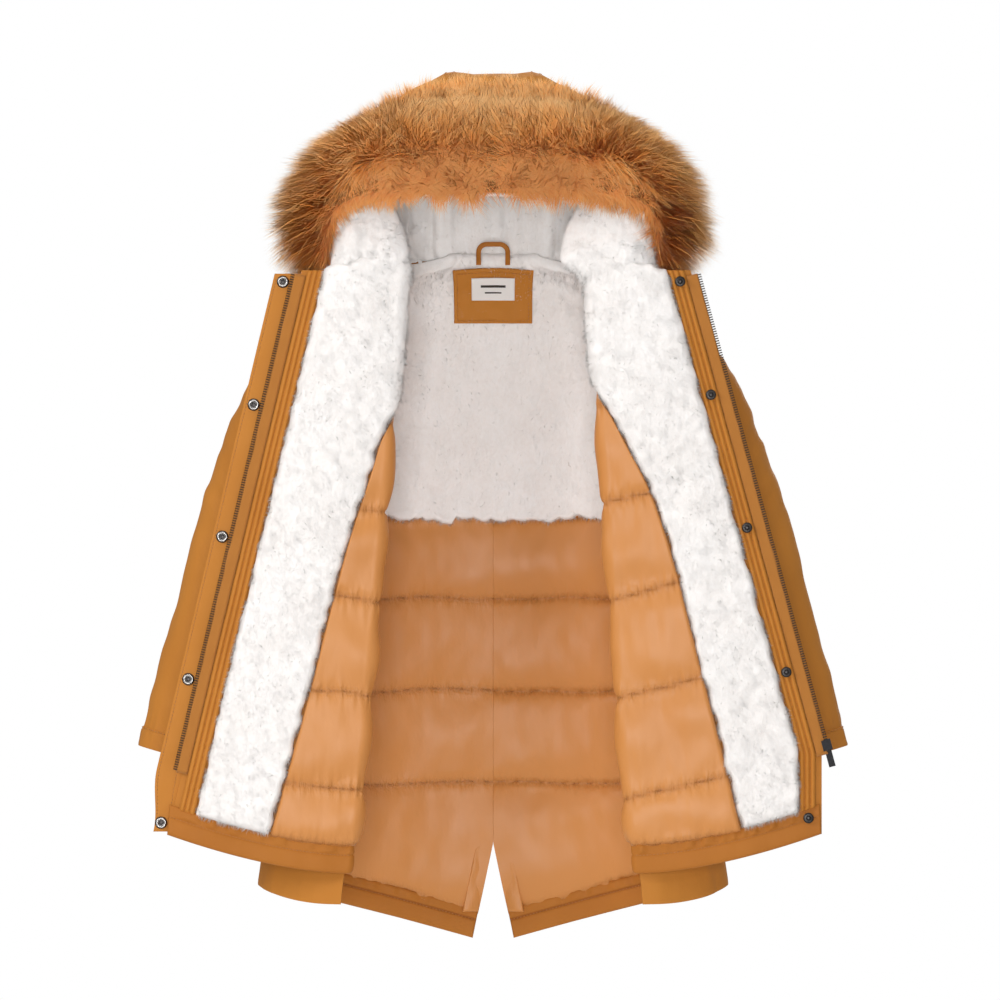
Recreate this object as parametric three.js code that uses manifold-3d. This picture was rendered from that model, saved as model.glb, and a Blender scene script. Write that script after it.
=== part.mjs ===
// A hooded winter parka, hanging open: millimetres, +Z up, the wearer faces -Y and the wearer's left is +X.
// Every soft layer is a closed slab laid on one of four reference surfaces: the torso, a front panel,
// a sleeve or the hood. Offsets are measured out from the outer face of the shell fabric.
import * as THREE from "three";
import { mergeVertices } from "three/addons/utils/BufferGeometryUtils.js";
import Module from "manifold-3d";

const wasm = await Module();
wasm.setup();

// ---------------------------------------------------------------- driving dimensions

const CLEAR = 0.5; // between the edges of two pieces
const LAYER_GAP = 1.2; // between two layers of cloth, which are faceted separately
const SHELL_T = 3; // outer fabric with its interlining
const LINING_T = 10; // quilted satin or plush, with the wadding behind it
const PLUSH_PROUD = 2; // the plush facing stands this much higher than the quilt beside it

const SIDE_HEM_Z = -786; // the hem at the side seams, which sets the coat's length
const BACK_TAIL = 78; // the back hem drops this much more at its middle
const BELOW_TAIL = 6; // the lowest torso ring lies this far below the tail
const HEM_HALF_WIDTH = 290;

// Torso: half-width and half-depth of its oval at each height, from the back hem up to the neck.
const TORSO_RINGS = [
  [SIDE_HEM_Z - BACK_TAIL - BELOW_TAIL, HEM_HALF_WIDTH + 8, 128],
  [SIDE_HEM_Z, HEM_HALF_WIDTH, 126],
  [SIDE_HEM_Z + 136, 268, 122],
  [-450, 245, 118],
  [-300, 232, 115],
  [-150, 228, 112],
  [-80, 210, 100],
  [-35, 150, 82],
  [-8, 84, 64],
];
const TORSO_Y = 10; // the oval's centre behind the shoulder line
const NECK_Z = -10;
const SIDE_DROP = 20; // and the side part's hem drops this much towards the fold
const SIDE_TOP_LOWER = 26; // the side parts start this far below the neck seam
const HEM_BAND = 37; // height of the turned-up hem band inside
const YOKE_Z = -334; // plush above this height, quilted satin below it
const VENT_TOP_Z = SIDE_HEM_Z + 53;
const VENT_WIDTH = 54; // at the hem

// Front panels, folded open: |x| of the fold at two heights, and of the zip line x = start + slope |z|.
const FRONT_GAP = 3.97; // between an opened front and the foremost point of the side part at its fold
const FRONT_TOP_Z = -32;
const FRONT_FOLD_HEM_Z = SIDE_HEM_Z + 18; // the opened front's hem, at its fold
const FRONT_EDGE_HEM_Z = SIDE_HEM_Z + 69; // and at its edge
const FRONT_BULGE = 7; // an opened front stands this much proud of a flat sheet
const HEM_CURVE = 1.6; // power of the hem's rise from the fold to the edge
const PLACKET_WIDTH = 36;
const PLACKET_T = 5;
const EDGE_LIMIT = 408; // |x| at which the opened front's edge turns straight down
const SEAM_WIDTH = 2.5; // between the quilt and the plush facing
const QUILT_STARTS_BELOW = 20; // the quilt begins this far under the point where the facing leaves the fold
const FOLD_GAP = 1.5; // on each side of the fold line
const RIGHT = {
  side: -1,
  foldTop: 116,
  foldHem: 179,
  zipStart: 233,
  zipSlope: 0.238,
  zipTop: -36,
  zipEnd: FRONT_EDGE_HEM_Z + 73,
  plush: [[-232, 134], [-367, 178], [-544, 223], [FRONT_FOLD_HEM_Z + 8, 285]],
  snaps: [-46, -196, -357, -531, FRONT_EDGE_HEM_Z + 11],
};
const LEFT = {
  side: 1,
  foldTop: 125,
  foldHem: 178,
  zipStart: 239,
  zipSlope: 0.272,
  zipTop: -36,
  zipEnd: FRONT_EDGE_HEM_Z + 95,
  plush: [[-200, 140], [-305, 195], [-532, 259], [FRONT_FOLD_HEM_Z + 8, 316]],
  snaps: [-46, -184, -346, -522, FRONT_EDGE_HEM_Z + 17],
};

// Zip: tape, a strip of teeth beyond its edge, and the slider that runs on them.
const TAPE_WIDTH = 14;
const TAPE_T = 1.5;
const TAPE_LIFT = SHELL_T + 2.5;
const TEETH_WIDTH = 4;
const TEETH_T = 3.6;
const SLIDER_LENGTH = 13;
const SLIDER_PLATE = 2;
const SLIDER_CLEAR = 0.5;
const PULL_LENGTH = 30;
const PULL_WIDTH = 8;
const PULL_T = 1.6;

// Storm flap, sewn behind the right front's zip.
const FLAP_SEAM_INSET = 12;
const FLAP_BEYOND_ZIP = 25;
const FLAP_GAP = 1;
const FLAP_T = 3;
const FLAP_CORNER = 14; // taken off the flap towards its rounded lower end

const SNAP_RADIUS = 6.5;
const SNAP_HEIGHT = 3;
const SNAP_FROM_ZIP = 12.5;

// Sleeve: the outer and the underarm edge, as |x| and z, from inside the armhole to the cuff.
const SLEEVE_OUTER = [[150, -96], [222, -88], [264, -110], [312, -192], [357, -312], [406, -495], [438, -615]];
const SLEEVE_UNDER = [[150, -262], [226, -284], [246, -316], [258, -362], [272, -436], [295, -540], [318, -647]];
const SLEEVE_Y_TOP = 20;
const SLEEVE_Y_CUFF = 34;
const SLEEVE_DEPTH_TOP = 60; // half the oval's depth
const SLEEVE_DEPTH_CUFF = 44;
const SLEEVE_LENGTH = 640; // along its middle line
const CUFF_LENGTH = 22; // turned and stitched end of the sleeve
const CUFF_T = SHELL_T + 2;
const SLEEVE_LINING_T = 7;
const ARMHOLE_GAP = 4; // between the torso and the sleeve that swings on it

// Hood, from its face opening to the nape, by arches:
// place, half-width, base y, base z, apex y, apex z, squareness
const HOOD_ARCHES = [
  [0, 197, -78, -26, -112, 62, 0.4],
  [0.25, 193, -52, -34, -46, 154, 0.6],
  [0.5, 180, -12, -34, 34, 212, 0.8],
  [0.75, 146, 24, -14, 104, 128, 0.9],
  [1, 88, 42, 0, 74, 4, 1],
];
const HOOD_LINING_T = 8;
const HOOD_LAYER_GAP = 3.6; // wider than elsewhere, for the tight turns at the hood's feet
const FUR_BAND = 1 / 3; // share of the hood, from the opening, that the trim covers
const FUR_T = 38;
const COLLAR_OUTER = 178; // |x| of the collar roll's outer and inner edge at its foot
const COLLAR_INNER = 120;
const COLLAR_LEAN = 8; // the outer edge comes in this much, and the inner one goes out this much, at the top
const COLLAR_NARROWING = 26;
const COLLAR_PLUMP = 5;
const COLLAR_TOP_Z = 46;
const COLLAR_BASE_Z = -22;
const COLLAR_Y = -70;
const COLLAR_T = 9;

// Neck patch, label and hanging loop, on the nape.
const PATCH_WIDTH = 94;
const PATCH_BOTTOM_Z = -88;
const PATCH_T = 1.2;
const PATCH_GAP = 4;
const LABEL_WIDTH = 52;
const LABEL_TOP_Z = -24;
const LABEL_BOTTOM_Z = -56;
const LABEL_T = 0.8;
const LOOP_WIDTH = 42;
const LOOP_STRAP = 6;
const LOOP_TOP_Z = 7;
const LOOP_LEG_Z = -22;
const LOOP_T = 2.5;
const LOOP_Y = 45;

// ---------------------------------------------------------------- colours

const PAINT = {
  shell: [0xb87b3a, 0.75, 0],
  satin: [0xcf9159, 0.4, 0],
  plush: [0xf1ebe6, 0.95, 0],
  fur: [0xb87434, 0.9, 0],
  label: [0xf4f1ec, 0.8, 0],
  tape: [0x8a5c2c, 0.8, 0],
  teeth: [0x4a4542, 0.45, 0.6],
  snap: [0x8c8a88, 0.3, 1],
  stud: [0x3a3836, 0.35, 1],
  slider: [0x151515, 0.35, 0.8],
};

// ---------------------------------------------------------------- solids

const lerp = THREE.MathUtils.lerp;

// A curve through rows [place, values...], read at any place. Rows run upwards or downwards.
function table(rows) {
  const sorted = [...rows].sort((a, b) => a[0] - b[0]);
  const size = sorted[0].length - 1;
  const places = new Float64Array(sorted.map((row) => row[0]));
  const values = new Float64Array(sorted.flatMap((row) => row.slice(1)));
  const curve = new THREE.CubicInterpolant(places, values, size, new Float64Array(size));
  return (place) => Array.from(curve.evaluate(place));
}

function bare(geometry) {
  geometry.deleteAttribute("normal");
  geometry.deleteAttribute("uv");
  return mergeVertices(geometry, 1e-4);
}

// Turns the faces outwards if the mapping that placed the points was left-handed.
function facingOut(geometry) {
  const p = geometry.getAttribute("position");
  const index = geometry.index.array;
  const [a, b, c] = [new THREE.Vector3(), new THREE.Vector3(), new THREE.Vector3()];
  let volume = 0;
  for (let i = 0; i < index.length; i += 3) {
    a.fromBufferAttribute(p, index[i]);
    b.fromBufferAttribute(p, index[i + 1]);
    c.fromBufferAttribute(p, index[i + 2]);
    volume += a.dot(b.cross(c));
  }
  if (volume < 0) {
    for (let i = 0; i < index.length; i += 3) [index[i + 1], index[i + 2]] = [index[i + 2], index[i + 1]];
  }
  return geometry;
}

// A box bent to a surface: point(u, v, t) with u and v along the sheet and t through it, each 0 to 1.
function slab(nu, nv, point) {
  const box = new THREE.BoxGeometry(1, 1, 1, nu, nv, 1);
  const p = box.getAttribute("position");
  for (let i = 0; i < p.count; i++) {
    p.setXYZ(i, ...point(p.getX(i) + 0.5, p.getY(i) + 0.5, p.getZ(i) + 0.5));
  }
  return facingOut(bare(box));
}

// An open-ended tube with a wall: point(turn, along, t), t from the inner face to the outer one.
function tube(nu, nv, point) {
  const around = 2 * nv + 2;
  const ring = new THREE.TorusGeometry(1, 0.5, around, nu);
  const p = ring.getAttribute("position");
  const uv = ring.getAttribute("uv");
  for (let i = 0; i < p.count; i++) {
    const j = Math.round(uv.getY(i) * around) % around;
    const turn = (Math.round(uv.getX(i) * nu) % nu) / nu;
    const along = j <= nv ? j / nv : (2 * nv + 1 - j) / nv;
    p.setXYZ(i, ...point(turn, along, j <= nv ? 1 : 0));
  }
  return facingOut(bare(ring));
}

// A solid rod: point(turn, along, r), r from 0 on the middle line to 1 on the skin.
function rod(nu, nv, point) {
  const cylinder = new THREE.CylinderGeometry(1, 1, 1, nu, nv);
  const p = cylinder.getAttribute("position");
  for (let i = 0; i < p.count; i++) {
    const r = Math.min(1, Math.hypot(p.getX(i), p.getZ(i)));
    const turn = Math.atan2(p.getX(i), p.getZ(i)) / (2 * Math.PI);
    p.setXYZ(i, ...point(turn, 0.5 - p.getY(i), r));
  }
  return facingOut(bare(cylinder));
}

function toSolid(geometry) {
  return new wasm.Manifold(
    new wasm.Mesh({
      numProp: 3,
      vertProperties: new Float32Array(geometry.getAttribute("position").array),
      triVerts: new Uint32Array(geometry.index.array),
    }),
  );
}

function fromSolid(solid) {
  const mesh = solid.getMesh();
  const geometry = new THREE.BufferGeometry();
  geometry.setAttribute("position", new THREE.BufferAttribute(mesh.vertProperties, 3));
  geometry.setIndex(new THREE.BufferAttribute(mesh.triVerts, 1));
  return geometry;
}

function cut(geometry, ...tools) {
  return fromSolid(tools.reduce((solid, tool) => solid.subtract(toSolid(tool)), toSolid(geometry)));
}

// A surface moved out along its own normal.
function offsetFrom(surface, outward, u, v, d) {
  const step = 1e-3;
  const at = new THREE.Vector3(...surface(u, v));
  const alongU = new THREE.Vector3(...surface(u + step, v)).sub(new THREE.Vector3(...surface(u - step, v)));
  const alongV = new THREE.Vector3(...surface(u, v + step)).sub(new THREE.Vector3(...surface(u, v - step)));
  const normal = alongU.cross(alongV).normalize();
  if (normal.dot(outward(at)) < 0) normal.negate();
  return at.addScaledVector(normal, d).toArray();
}

// ---------------------------------------------------------------- torso

const torsoOval = table(TORSO_RINGS);
const TORSO_TOP_Z = TORSO_RINGS.at(-1)[0];
const TORSO_DEEP_Z = TORSO_RINGS[0][0];

// Angle 0 is the middle of the back, a quarter turn is the side seam. The height is in metres here,
// so that one small step suits both of its parameters.
function torsoSurface(angle, height) {
  const z = THREE.MathUtils.clamp(height * 1000, TORSO_DEEP_Z, TORSO_TOP_Z);
  const [a, b] = torsoOval(z);
  return [a * Math.sin(angle), TORSO_Y + b * Math.cos(angle), height * 1000];
}

function torsoPoint(angle, z, d) {
  const outward = (p) => new THREE.Vector3(p.x, p.y - TORSO_Y, 0);
  return offsetFrom(torsoSurface, outward, angle, z / 1000, d);
}

const halfWidthAt = (z) => torsoOval(Math.max(z, TORSO_DEEP_Z))[0];

function backHemZ(angle) {
  const x = halfWidthAt(SIDE_HEM_Z) * Math.abs(Math.sin(angle));
  return SIDE_HEM_Z - BACK_TAIL * (1 - x / halfWidthAt(SIDE_HEM_Z));
}

const foldX = (front, z) =>
  lerp(front.foldTop, front.foldHem, (z - FRONT_TOP_Z) / (FRONT_FOLD_HEM_Z - FRONT_TOP_Z));

// The torso angle at which the fixed side part meets the fold.
function foldAngle(front, z) {
  const ratio = Math.min((foldX(front, z) + FOLD_GAP) / halfWidthAt(z), 1);
  return Math.PI - Math.asin(ratio);
}

// Outer face of an opened front, clear of both side parts all the way down.
function foremostFold(front) {
  const heights = Array.from({ length: 60 }, (_, i) => lerp(FRONT_TOP_Z, FRONT_FOLD_HEM_Z, i / 59));
  return Math.min(...heights.map((z) => torsoPoint(foldAngle(front, z), z, 0)[1]));
}

const FRONT_Y = Math.min(foremostFold(RIGHT), foremostFold(LEFT)) - FRONT_GAP;

const SEAM_ANGLE = Math.PI / 2;
const SEAM_GAP = 0.003;

// Layers on top of each other share their rows, so that they are faceted alike: the same number from
// the yoke line up and from the hem band to the yoke, and in the shell one more beside the hem band.
const ROWS_EACH = 7;
const liningRowZ = (v, topZ, bottomZ) => (v > 0.5 ? lerp(YOKE_Z, topZ, 2 * v - 1) : lerp(bottomZ, YOKE_Z, 2 * v));

function shellRowZ(v, topZ, hemZ) {
  const row = v * (1 + 2 * ROWS_EACH);
  const bandTop = hemZ + HEM_BAND + CLEAR;
  return row < 1 ? lerp(hemZ, bandTop, row) : liningRowZ((row - 1) / (2 * ROWS_EACH), topZ, bandTop);
}

// Part of the back: height(angle, v) gives each row.
function backSlab(from, to, height, inner, outer, nu, nv) {
  return slab(nu, nv, (u, v, t) => {
    const angle = lerp(from, to, u);
    return torsoPoint(angle, height(angle, v), lerp(inner, outer, t));
  });
}

function sideSlab(front, rowZ, topZ, bottomZ, inner, outer, nu, nv) {
  return slab(nu, nv, (u, v, t) => {
    const z = rowZ(v, topZ, bottomZ - SIDE_DROP * u);
    const angle = lerp(SEAM_ANGLE + SEAM_GAP, foldAngle(front, z), u);
    return torsoPoint(front.side * angle, z, lerp(inner, outer, t));
  });
}

const LINING_OUT = -(SHELL_T + LAYER_GAP);
const LINING_IN = LINING_OUT - LINING_T;

// ---------------------------------------------------------------- sleeves

function edgeCurve(points, side) {
  const last = points.length - 1;
  return new THREE.CatmullRomCurve3(
    points.map(([x, z], i) => new THREE.Vector3(side * x, lerp(SLEEVE_Y_TOP, SLEEVE_Y_CUFF, i / last), z)),
  );
}

// A sleeve's skin, or a layer a given depth inside it, or a solid core: w runs from 0 to 1 at the cuff.
function sleevePoint(side) {
  const outer = edgeCurve(SLEEVE_OUTER, side);
  const under = edgeCurve(SLEEVE_UNDER, side);
  return (turn, w, inset, r = 1) => {
    const top = outer.getPoint(w);
    const low = under.getPoint(w);
    const middle = top.clone().add(low).multiplyScalar(0.5);
    const reach = top.clone().sub(low).multiplyScalar(0.5);
    const radius = (reach.length() - inset) * r;
    const depth = (lerp(SLEEVE_DEPTH_TOP, SLEEVE_DEPTH_CUFF, w) - inset) * r;
    const angle = 2 * Math.PI * turn;
    middle.addScaledVector(reach.normalize(), radius * Math.cos(angle));
    middle.y += depth * Math.sin(angle);
    return middle.toArray();
  };
}

const SLEEVE_SIDES = 16;
const SLEEVE_STEPS = 8;
const CUFF_SHARE = 1 - CUFF_LENGTH / SLEEVE_LENGTH;
const CUFF_GAP_SHARE = CLEAR / SLEEVE_LENGTH;

// ---------------------------------------------------------------- front panels

const zipX = (front, z) => front.zipStart - front.zipSlope * z;
const edgeX = (front, z) => Math.min(zipX(front, z), EDGE_LIMIT);

function frontHemZ(front, x) {
  const share = THREE.MathUtils.clamp((x - front.foldHem) / (EDGE_LIMIT - front.foldHem), 0, 1);
  return lerp(FRONT_FOLD_HEM_Z, FRONT_EDGE_HEM_Z, Math.pow(share, HEM_CURVE));
}

// The height at which the line a share u of the way between two x limits is a given rise above the hem.
function frontBottom(front, low, high, u, rise) {
  let z = FRONT_EDGE_HEM_Z;
  for (let i = 0; i < 4; i++) z = frontHemZ(front, lerp(low(z), high(z), u)) + rise;
  return z;
}

// A slab on an opened front: x limits are functions of z, and lift is counted from the shell's outer
// face towards the wearer's side, so a negative lift is on the coat's outside.
function frontSlab(front, low, high, topZ, rise, liftA, liftB, nu, nv) {
  return slab(nu, nv, (u, v, t) => {
    const z = lerp(frontBottom(front, low, high, u, rise), topZ, v);
    return frontPoint(front, lerp(low(z), high(z), u), z, lerp(liftA, liftB, t));
  });
}

function frontPoint(front, x, z, lift) {
  const share = (x - foldX(front, z)) / (edgeX(front, z) - TAPE_WIDTH - foldX(front, z));
  const bulge = FRONT_BULGE * Math.sin(Math.PI * THREE.MathUtils.clamp(share, 0, 1));
  return [front.side * x, FRONT_Y - bulge - lift, z];
}

// ---------------------------------------------------------------- hood

const hoodArch = table(HOOD_ARCHES);

function hoodSurface(angle, w) {
  const [width, baseY, baseZ, apexY, apexZ, square] = hoodArch(THREE.MathUtils.clamp(w, 0, 1));
  const across = Math.cos(angle);
  const rise = Math.pow(Math.max(Math.sin(angle), 0), square);
  return [
    width * Math.sign(across) * Math.pow(Math.abs(across), square),
    lerp(baseY, apexY, rise),
    lerp(baseZ, apexZ, rise),
  ];
}

function hoodPoint(u, w, d) {
  const angle = Math.PI * u;
  const outward = (p) => new THREE.Vector3(p.x, p.y * 0.6, p.z);
  return offsetFrom(hoodSurface, outward, angle, THREE.MathUtils.clamp(w, 0.002, 0.998), d);
}

function hoodLayer(fromW, toW, inner, outer, nu, nv) {
  return slab(nu, nv, (u, v, t) => hoodPoint(u, lerp(fromW, toW, v), lerp(inner, outer, t)));
}

// ---------------------------------------------------------------- assembly

const coat = new THREE.Group();
// The origin is the underside of the hanging loop's top bar.
coat.position.set(0, -(LOOP_Y + LOOP_T / 2), -(LOOP_TOP_Z - LOOP_STRAP));

function piece(name, paint, geometry, parent = coat) {
  const [color, roughness, metalness] = PAINT[paint];
  const mesh = new THREE.Mesh(geometry, new THREE.MeshStandardMaterial({ color, roughness, metalness }));
  mesh.name = name;
  parent.add(mesh);
  return mesh;
}

function buildBack() {
  const limit = SEAM_ANGLE - SEAM_GAP;
  const bandTop = (angle) => backHemZ(angle) + HEM_BAND;
  const passages = [armPassage(-1), armPassage(1)];
  const notch = ventNotch();
  const whole = (angle, v) => shellRowZ(v, NECK_Z, backHemZ(angle));
  const upper = (angle, v) => lerp(YOKE_Z, NECK_Z, v);
  const lower = (angle, v) => lerp(bandTop(angle) + CLEAR, YOKE_Z - CLEAR, v);
  const hemBand = (angle, v) => lerp(backHemZ(angle), bandTop(angle), v);
  const lining = (height) => backSlab(-limit, limit, height, LINING_IN, LINING_OUT, 20, ROWS_EACH);
  const shell = backSlab(-limit, limit, whole, -SHELL_T, 0, 20, 1 + 2 * ROWS_EACH);
  piece("back_shell", "shell", cut(shell, notch, ...passages));
  piece("back_plush", "plush", cut(lining(upper), ...passages));
  piece("back_quilt", "satin", cut(lining(lower), notch));
  for (const [name, from, to] of [
    ["right_back_hem_band", -limit, -SEAM_GAP],
    ["left_back_hem_band", SEAM_GAP, limit],
  ]) {
    const band = backSlab(from, to, hemBand, LINING_OUT - SHELL_T, LINING_OUT, 10, 1);
    piece(name, "shell", cut(band, notch));
  }
}

function ventNotch() {
  const wedge = new THREE.Shape();
  const deep = TORSO_DEEP_Z - 40;
  const half = (VENT_WIDTH / 2) * ((VENT_TOP_Z - deep) / (VENT_TOP_Z - (SIDE_HEM_Z - BACK_TAIL)));
  wedge.moveTo(0, VENT_TOP_Z);
  wedge.lineTo(-half, deep);
  wedge.lineTo(half, deep);
  const prism = new THREE.ExtrudeGeometry(wedge, { depth: 80, bevelEnabled: false });
  prism.rotateX(Math.PI / 2);
  prism.translate(0, TORSO_Y + 160, 0);
  return facingOut(bare(prism));
}

// The space that an arm takes on its way through the armhole.
function armPassage(side) {
  const at = sleevePoint(side);
  const inset = SHELL_T + SLEEVE_LINING_T;
  return rod(SLEEVE_SIDES, 6, (turn, along, r) => at(turn, along * 0.5, inset, r));
}

function torsoBlank() {
  return rod(36, 24, (turn, along, r) => {
    const z = lerp(TORSO_TOP_Z, TORSO_DEEP_Z, Math.pow(along, 1.8));
    const [x, y] = torsoPoint(2 * Math.PI * turn, z, ARMHOLE_GAP);
    return [x * r, TORSO_Y + (y - TORSO_Y) * r, z];
  });
}

function buildSide(front, name) {
  const passage = armPassage(front.side);
  const top = NECK_Z - SIDE_TOP_LOWER;
  const shell = sideSlab(front, shellRowZ, top, SIDE_HEM_Z, -SHELL_T, 0, 6, 1 + 2 * ROWS_EACH);
  piece(`${name}_side_shell`, "shell", cut(shell, passage));
  const bandTop = SIDE_HEM_Z + HEM_BAND + CLEAR;
  const [inner, outer] = [LINING_IN - LAYER_GAP, LINING_OUT - LAYER_GAP];
  const lining = sideSlab(front, liningRowZ, top, bandTop, inner, outer, 6, 2 * ROWS_EACH);
  piece(`${name}_side_lining`, "satin", cut(lining, passage));
}

function buildSleeve(side, name) {
  const at = sleevePoint(side);
  const layer = (from, to, outerInset, innerInset, steps) =>
    tube(SLEEVE_SIDES, steps, (turn, along, t) => at(turn, lerp(from, to, along), lerp(innerInset, outerInset, t)));
  const blank = torsoBlank();
  const shellEnd = CUFF_SHARE - CUFF_GAP_SHARE;
  const liningOut = SHELL_T + 2 * LAYER_GAP;
  piece(`${name}_sleeve_shell`, "shell", cut(layer(0, shellEnd, 0, SHELL_T, SLEEVE_STEPS), blank));
  const lining = layer(0, shellEnd, liningOut, liningOut + SLEEVE_LINING_T, SLEEVE_STEPS);
  piece(`${name}_sleeve_lining`, "satin", cut(lining, blank));
  piece(`${name}_cuff`, "shell", layer(CUFF_SHARE, 1, 0, CUFF_T, 1));
}

function buildFront(front, name) {
  const fold = (z) => foldX(front, z) + FOLD_GAP;
  const zip = (z) => edgeX(front, z);
  const shellEdge = (z) => zip(z) - TAPE_WIDTH / 2;
  const plushOut = (z) => zip(z) - PLACKET_WIDTH;
  const boundary = table(front.plush);
  const topOfQuilt = front.plush[0][0];
  const plushIn = (z) => (z > topOfQuilt ? fold(z) : Math.max(boundary(z)[0], fold(z)));
  const lift = SHELL_T + LAYER_GAP;
  const plushTop = lift + LINING_T + PLUSH_PROUD;
  const overBand = HEM_BAND + CLEAR;
  const placketIn = (z) => plushOut(z) + SEAM_WIDTH;
  const placketOut = (z) => zip(z) - TAPE_WIDTH - CLEAR;
  const quiltOut = (z) => plushIn(z) - SEAM_WIDTH;
  const quiltTop = topOfQuilt - QUILT_STARTS_BELOW;
  const layer = (piecePaint, suffix, ...limits) =>
    piece(`${name}_${suffix}`, piecePaint, frontSlab(front, ...limits));
  layer("shell", "front_shell", fold, shellEdge, FRONT_TOP_Z, 0, 0, SHELL_T, 8, 8);
  layer("satin", "front_quilt", fold, quiltOut, quiltTop, overBand, lift, lift + LINING_T, 4, 8);
  layer("plush", "front_plush", plushIn, plushOut, FRONT_TOP_Z, overBand, lift, plushTop, 5, 14);
  layer("shell", "placket", placketIn, placketOut, FRONT_TOP_Z, overBand, lift, lift + PLACKET_T, 2, 8);
  const band = slab(10, 1, (u, v, t) => {
    const z = frontBottom(front, fold, shellEdge, u, HEM_BAND * v);
    return frontPoint(front, lerp(fold(z), shellEdge(z), u), z, lerp(lift, lift + SHELL_T, t));
  });
  piece(`${name}_front_hem_band`, "shell", band);
  buildZip(front, name);
}

// A frame on the zip line at z = 0: x across the zip, away from the coat's middle; y through the cloth;
// z up along the zip.
function zipFrame(front) {
  const frame = new THREE.Group();
  frame.position.set(front.side * front.zipStart, FRONT_Y, 0);
  frame.rotation.y = front.side * -Math.atan(front.zipSlope);
  return frame;
}

const alongZip = (front, z) => z / Math.cos(Math.atan(front.zipSlope));

function boxBetween(low, high) {
  const size = high.map((v, i) => v - low[i]);
  const box = new THREE.BoxGeometry(...size);
  box.translate(...high.map((v, i) => (v + low[i]) / 2));
  return bare(box);
}

// A bar along the zip: across and lift limits in the frame's own directions.
function zipBar(front, acrossA, acrossB, liftA, liftB, fromZ, toZ) {
  const xs = [front.side * acrossA, front.side * acrossB].sort((a, b) => a - b);
  const ys = [-liftB, -liftA];
  const zs = [alongZip(front, toZ), alongZip(front, fromZ)];
  return boxBetween([xs[0], ys[0], zs[0]], [xs[1], ys[1], zs[1]]);
}

const TEETH_LIFT = TAPE_LIFT + TAPE_T / 2 - TEETH_T / 2;

function buildZip(front, name) {
  const frame = zipFrame(front);
  coat.add(frame);
  const tape = zipBar(front, -TAPE_WIDTH + CLEAR, 0, TAPE_LIFT, TAPE_LIFT + TAPE_T, front.zipTop, front.zipEnd);
  piece(`${name}_zip_tape`, "tape", tape, frame);
  const teeth = zipBar(
    front, CLEAR, CLEAR + TEETH_WIDTH, TEETH_LIFT, TEETH_LIFT + TEETH_T, front.zipTop, front.zipEnd);
  piece(`${name}_zip_teeth`, "teeth", teeth, frame);
}

// The slider's two plates hold the teeth between them and are joined beyond the teeth's outer edge.
function buildSlider(front) {
  const frame = zipFrame(front);
  coat.add(frame);
  const bottom = front.zipEnd + 4;
  const top = bottom + SLIDER_LENGTH;
  const innerX = -4;
  const bridge = CLEAR + TEETH_WIDTH + SLIDER_CLEAR;
  const outerX = bridge + 2.5;
  const back = TEETH_LIFT - SLIDER_CLEAR;
  const face = TEETH_LIFT + TEETH_T + SLIDER_CLEAR;
  const whole = zipBar(front, innerX, outerX, back - SLIDER_PLATE, face + SLIDER_PLATE, top, bottom);
  const channel = zipBar(front, innerX - 5, bridge, back, face, top + 5, bottom - 5);
  piece("zip_slider", "slider", cut(facingOut(whole), facingOut(channel)), frame);

  // The pull hangs on the coat's outside from a bar at the slider's upper end.
  const pullFace = back - SLIDER_PLATE - CLEAR;
  const middle = (innerX + outerX) / 2;
  const pull = zipBar(
    front, middle - PULL_WIDTH / 2, middle + PULL_WIDTH / 2, pullFace - PULL_T, pullFace, top - 3, top - 3 - PULL_LENGTH);
  piece("zip_pull", "slider", pull, frame);
}

function snapDisc(name, paint, x, y, z) {
  const disc = bare(new THREE.CylinderGeometry(SNAP_RADIUS, SNAP_RADIUS, SNAP_HEIGHT, 16));
  disc.translate(x, y - SNAP_HEIGHT / 2, z);
  piece(name, paint, disc);
}

// The flap's sockets stand beyond the teeth and face the placket's studs of the other front.
function buildClosures() {
  const seam = (z) => zipX(RIGHT, z) - FLAP_SEAM_INSET;
  const corner = (z) => FLAP_CORNER * THREE.MathUtils.smoothstep(-z, 640, -FRONT_EDGE_HEM_Z);
  const free = (z) => zipX(RIGHT, z) + FLAP_BEYOND_ZIP - corner(z);
  const flap = slab(2, 12, (u, v, t) => {
    const z = lerp(FRONT_EDGE_HEM_Z, FRONT_TOP_Z - 4, v);
    return [-lerp(seam(z), free(z), u), FRONT_Y + FLAP_GAP + FLAP_T * t, z];
  });
  piece("storm_flap", "shell", flap);
  RIGHT.snaps.forEach((z, i) => {
    const x = Math.min(zipX(RIGHT, z) + SNAP_FROM_ZIP, EDGE_LIMIT - 3);
    snapDisc(`snap_socket_${i + 1}`, "snap", -x, FRONT_Y + FLAP_GAP - CLEAR, z);
  });
  LEFT.snaps.forEach((z, i) => {
    const x = edgeX(LEFT, z) - TAPE_WIDTH - SNAP_RADIUS - 3;
    const [px, py] = frontPoint(LEFT, x, z, SHELL_T + LAYER_GAP + PLACKET_T + 3 * CLEAR);
    snapDisc(`snap_stud_${i + 1}`, "stud", px, py, z);
  });
}

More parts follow.
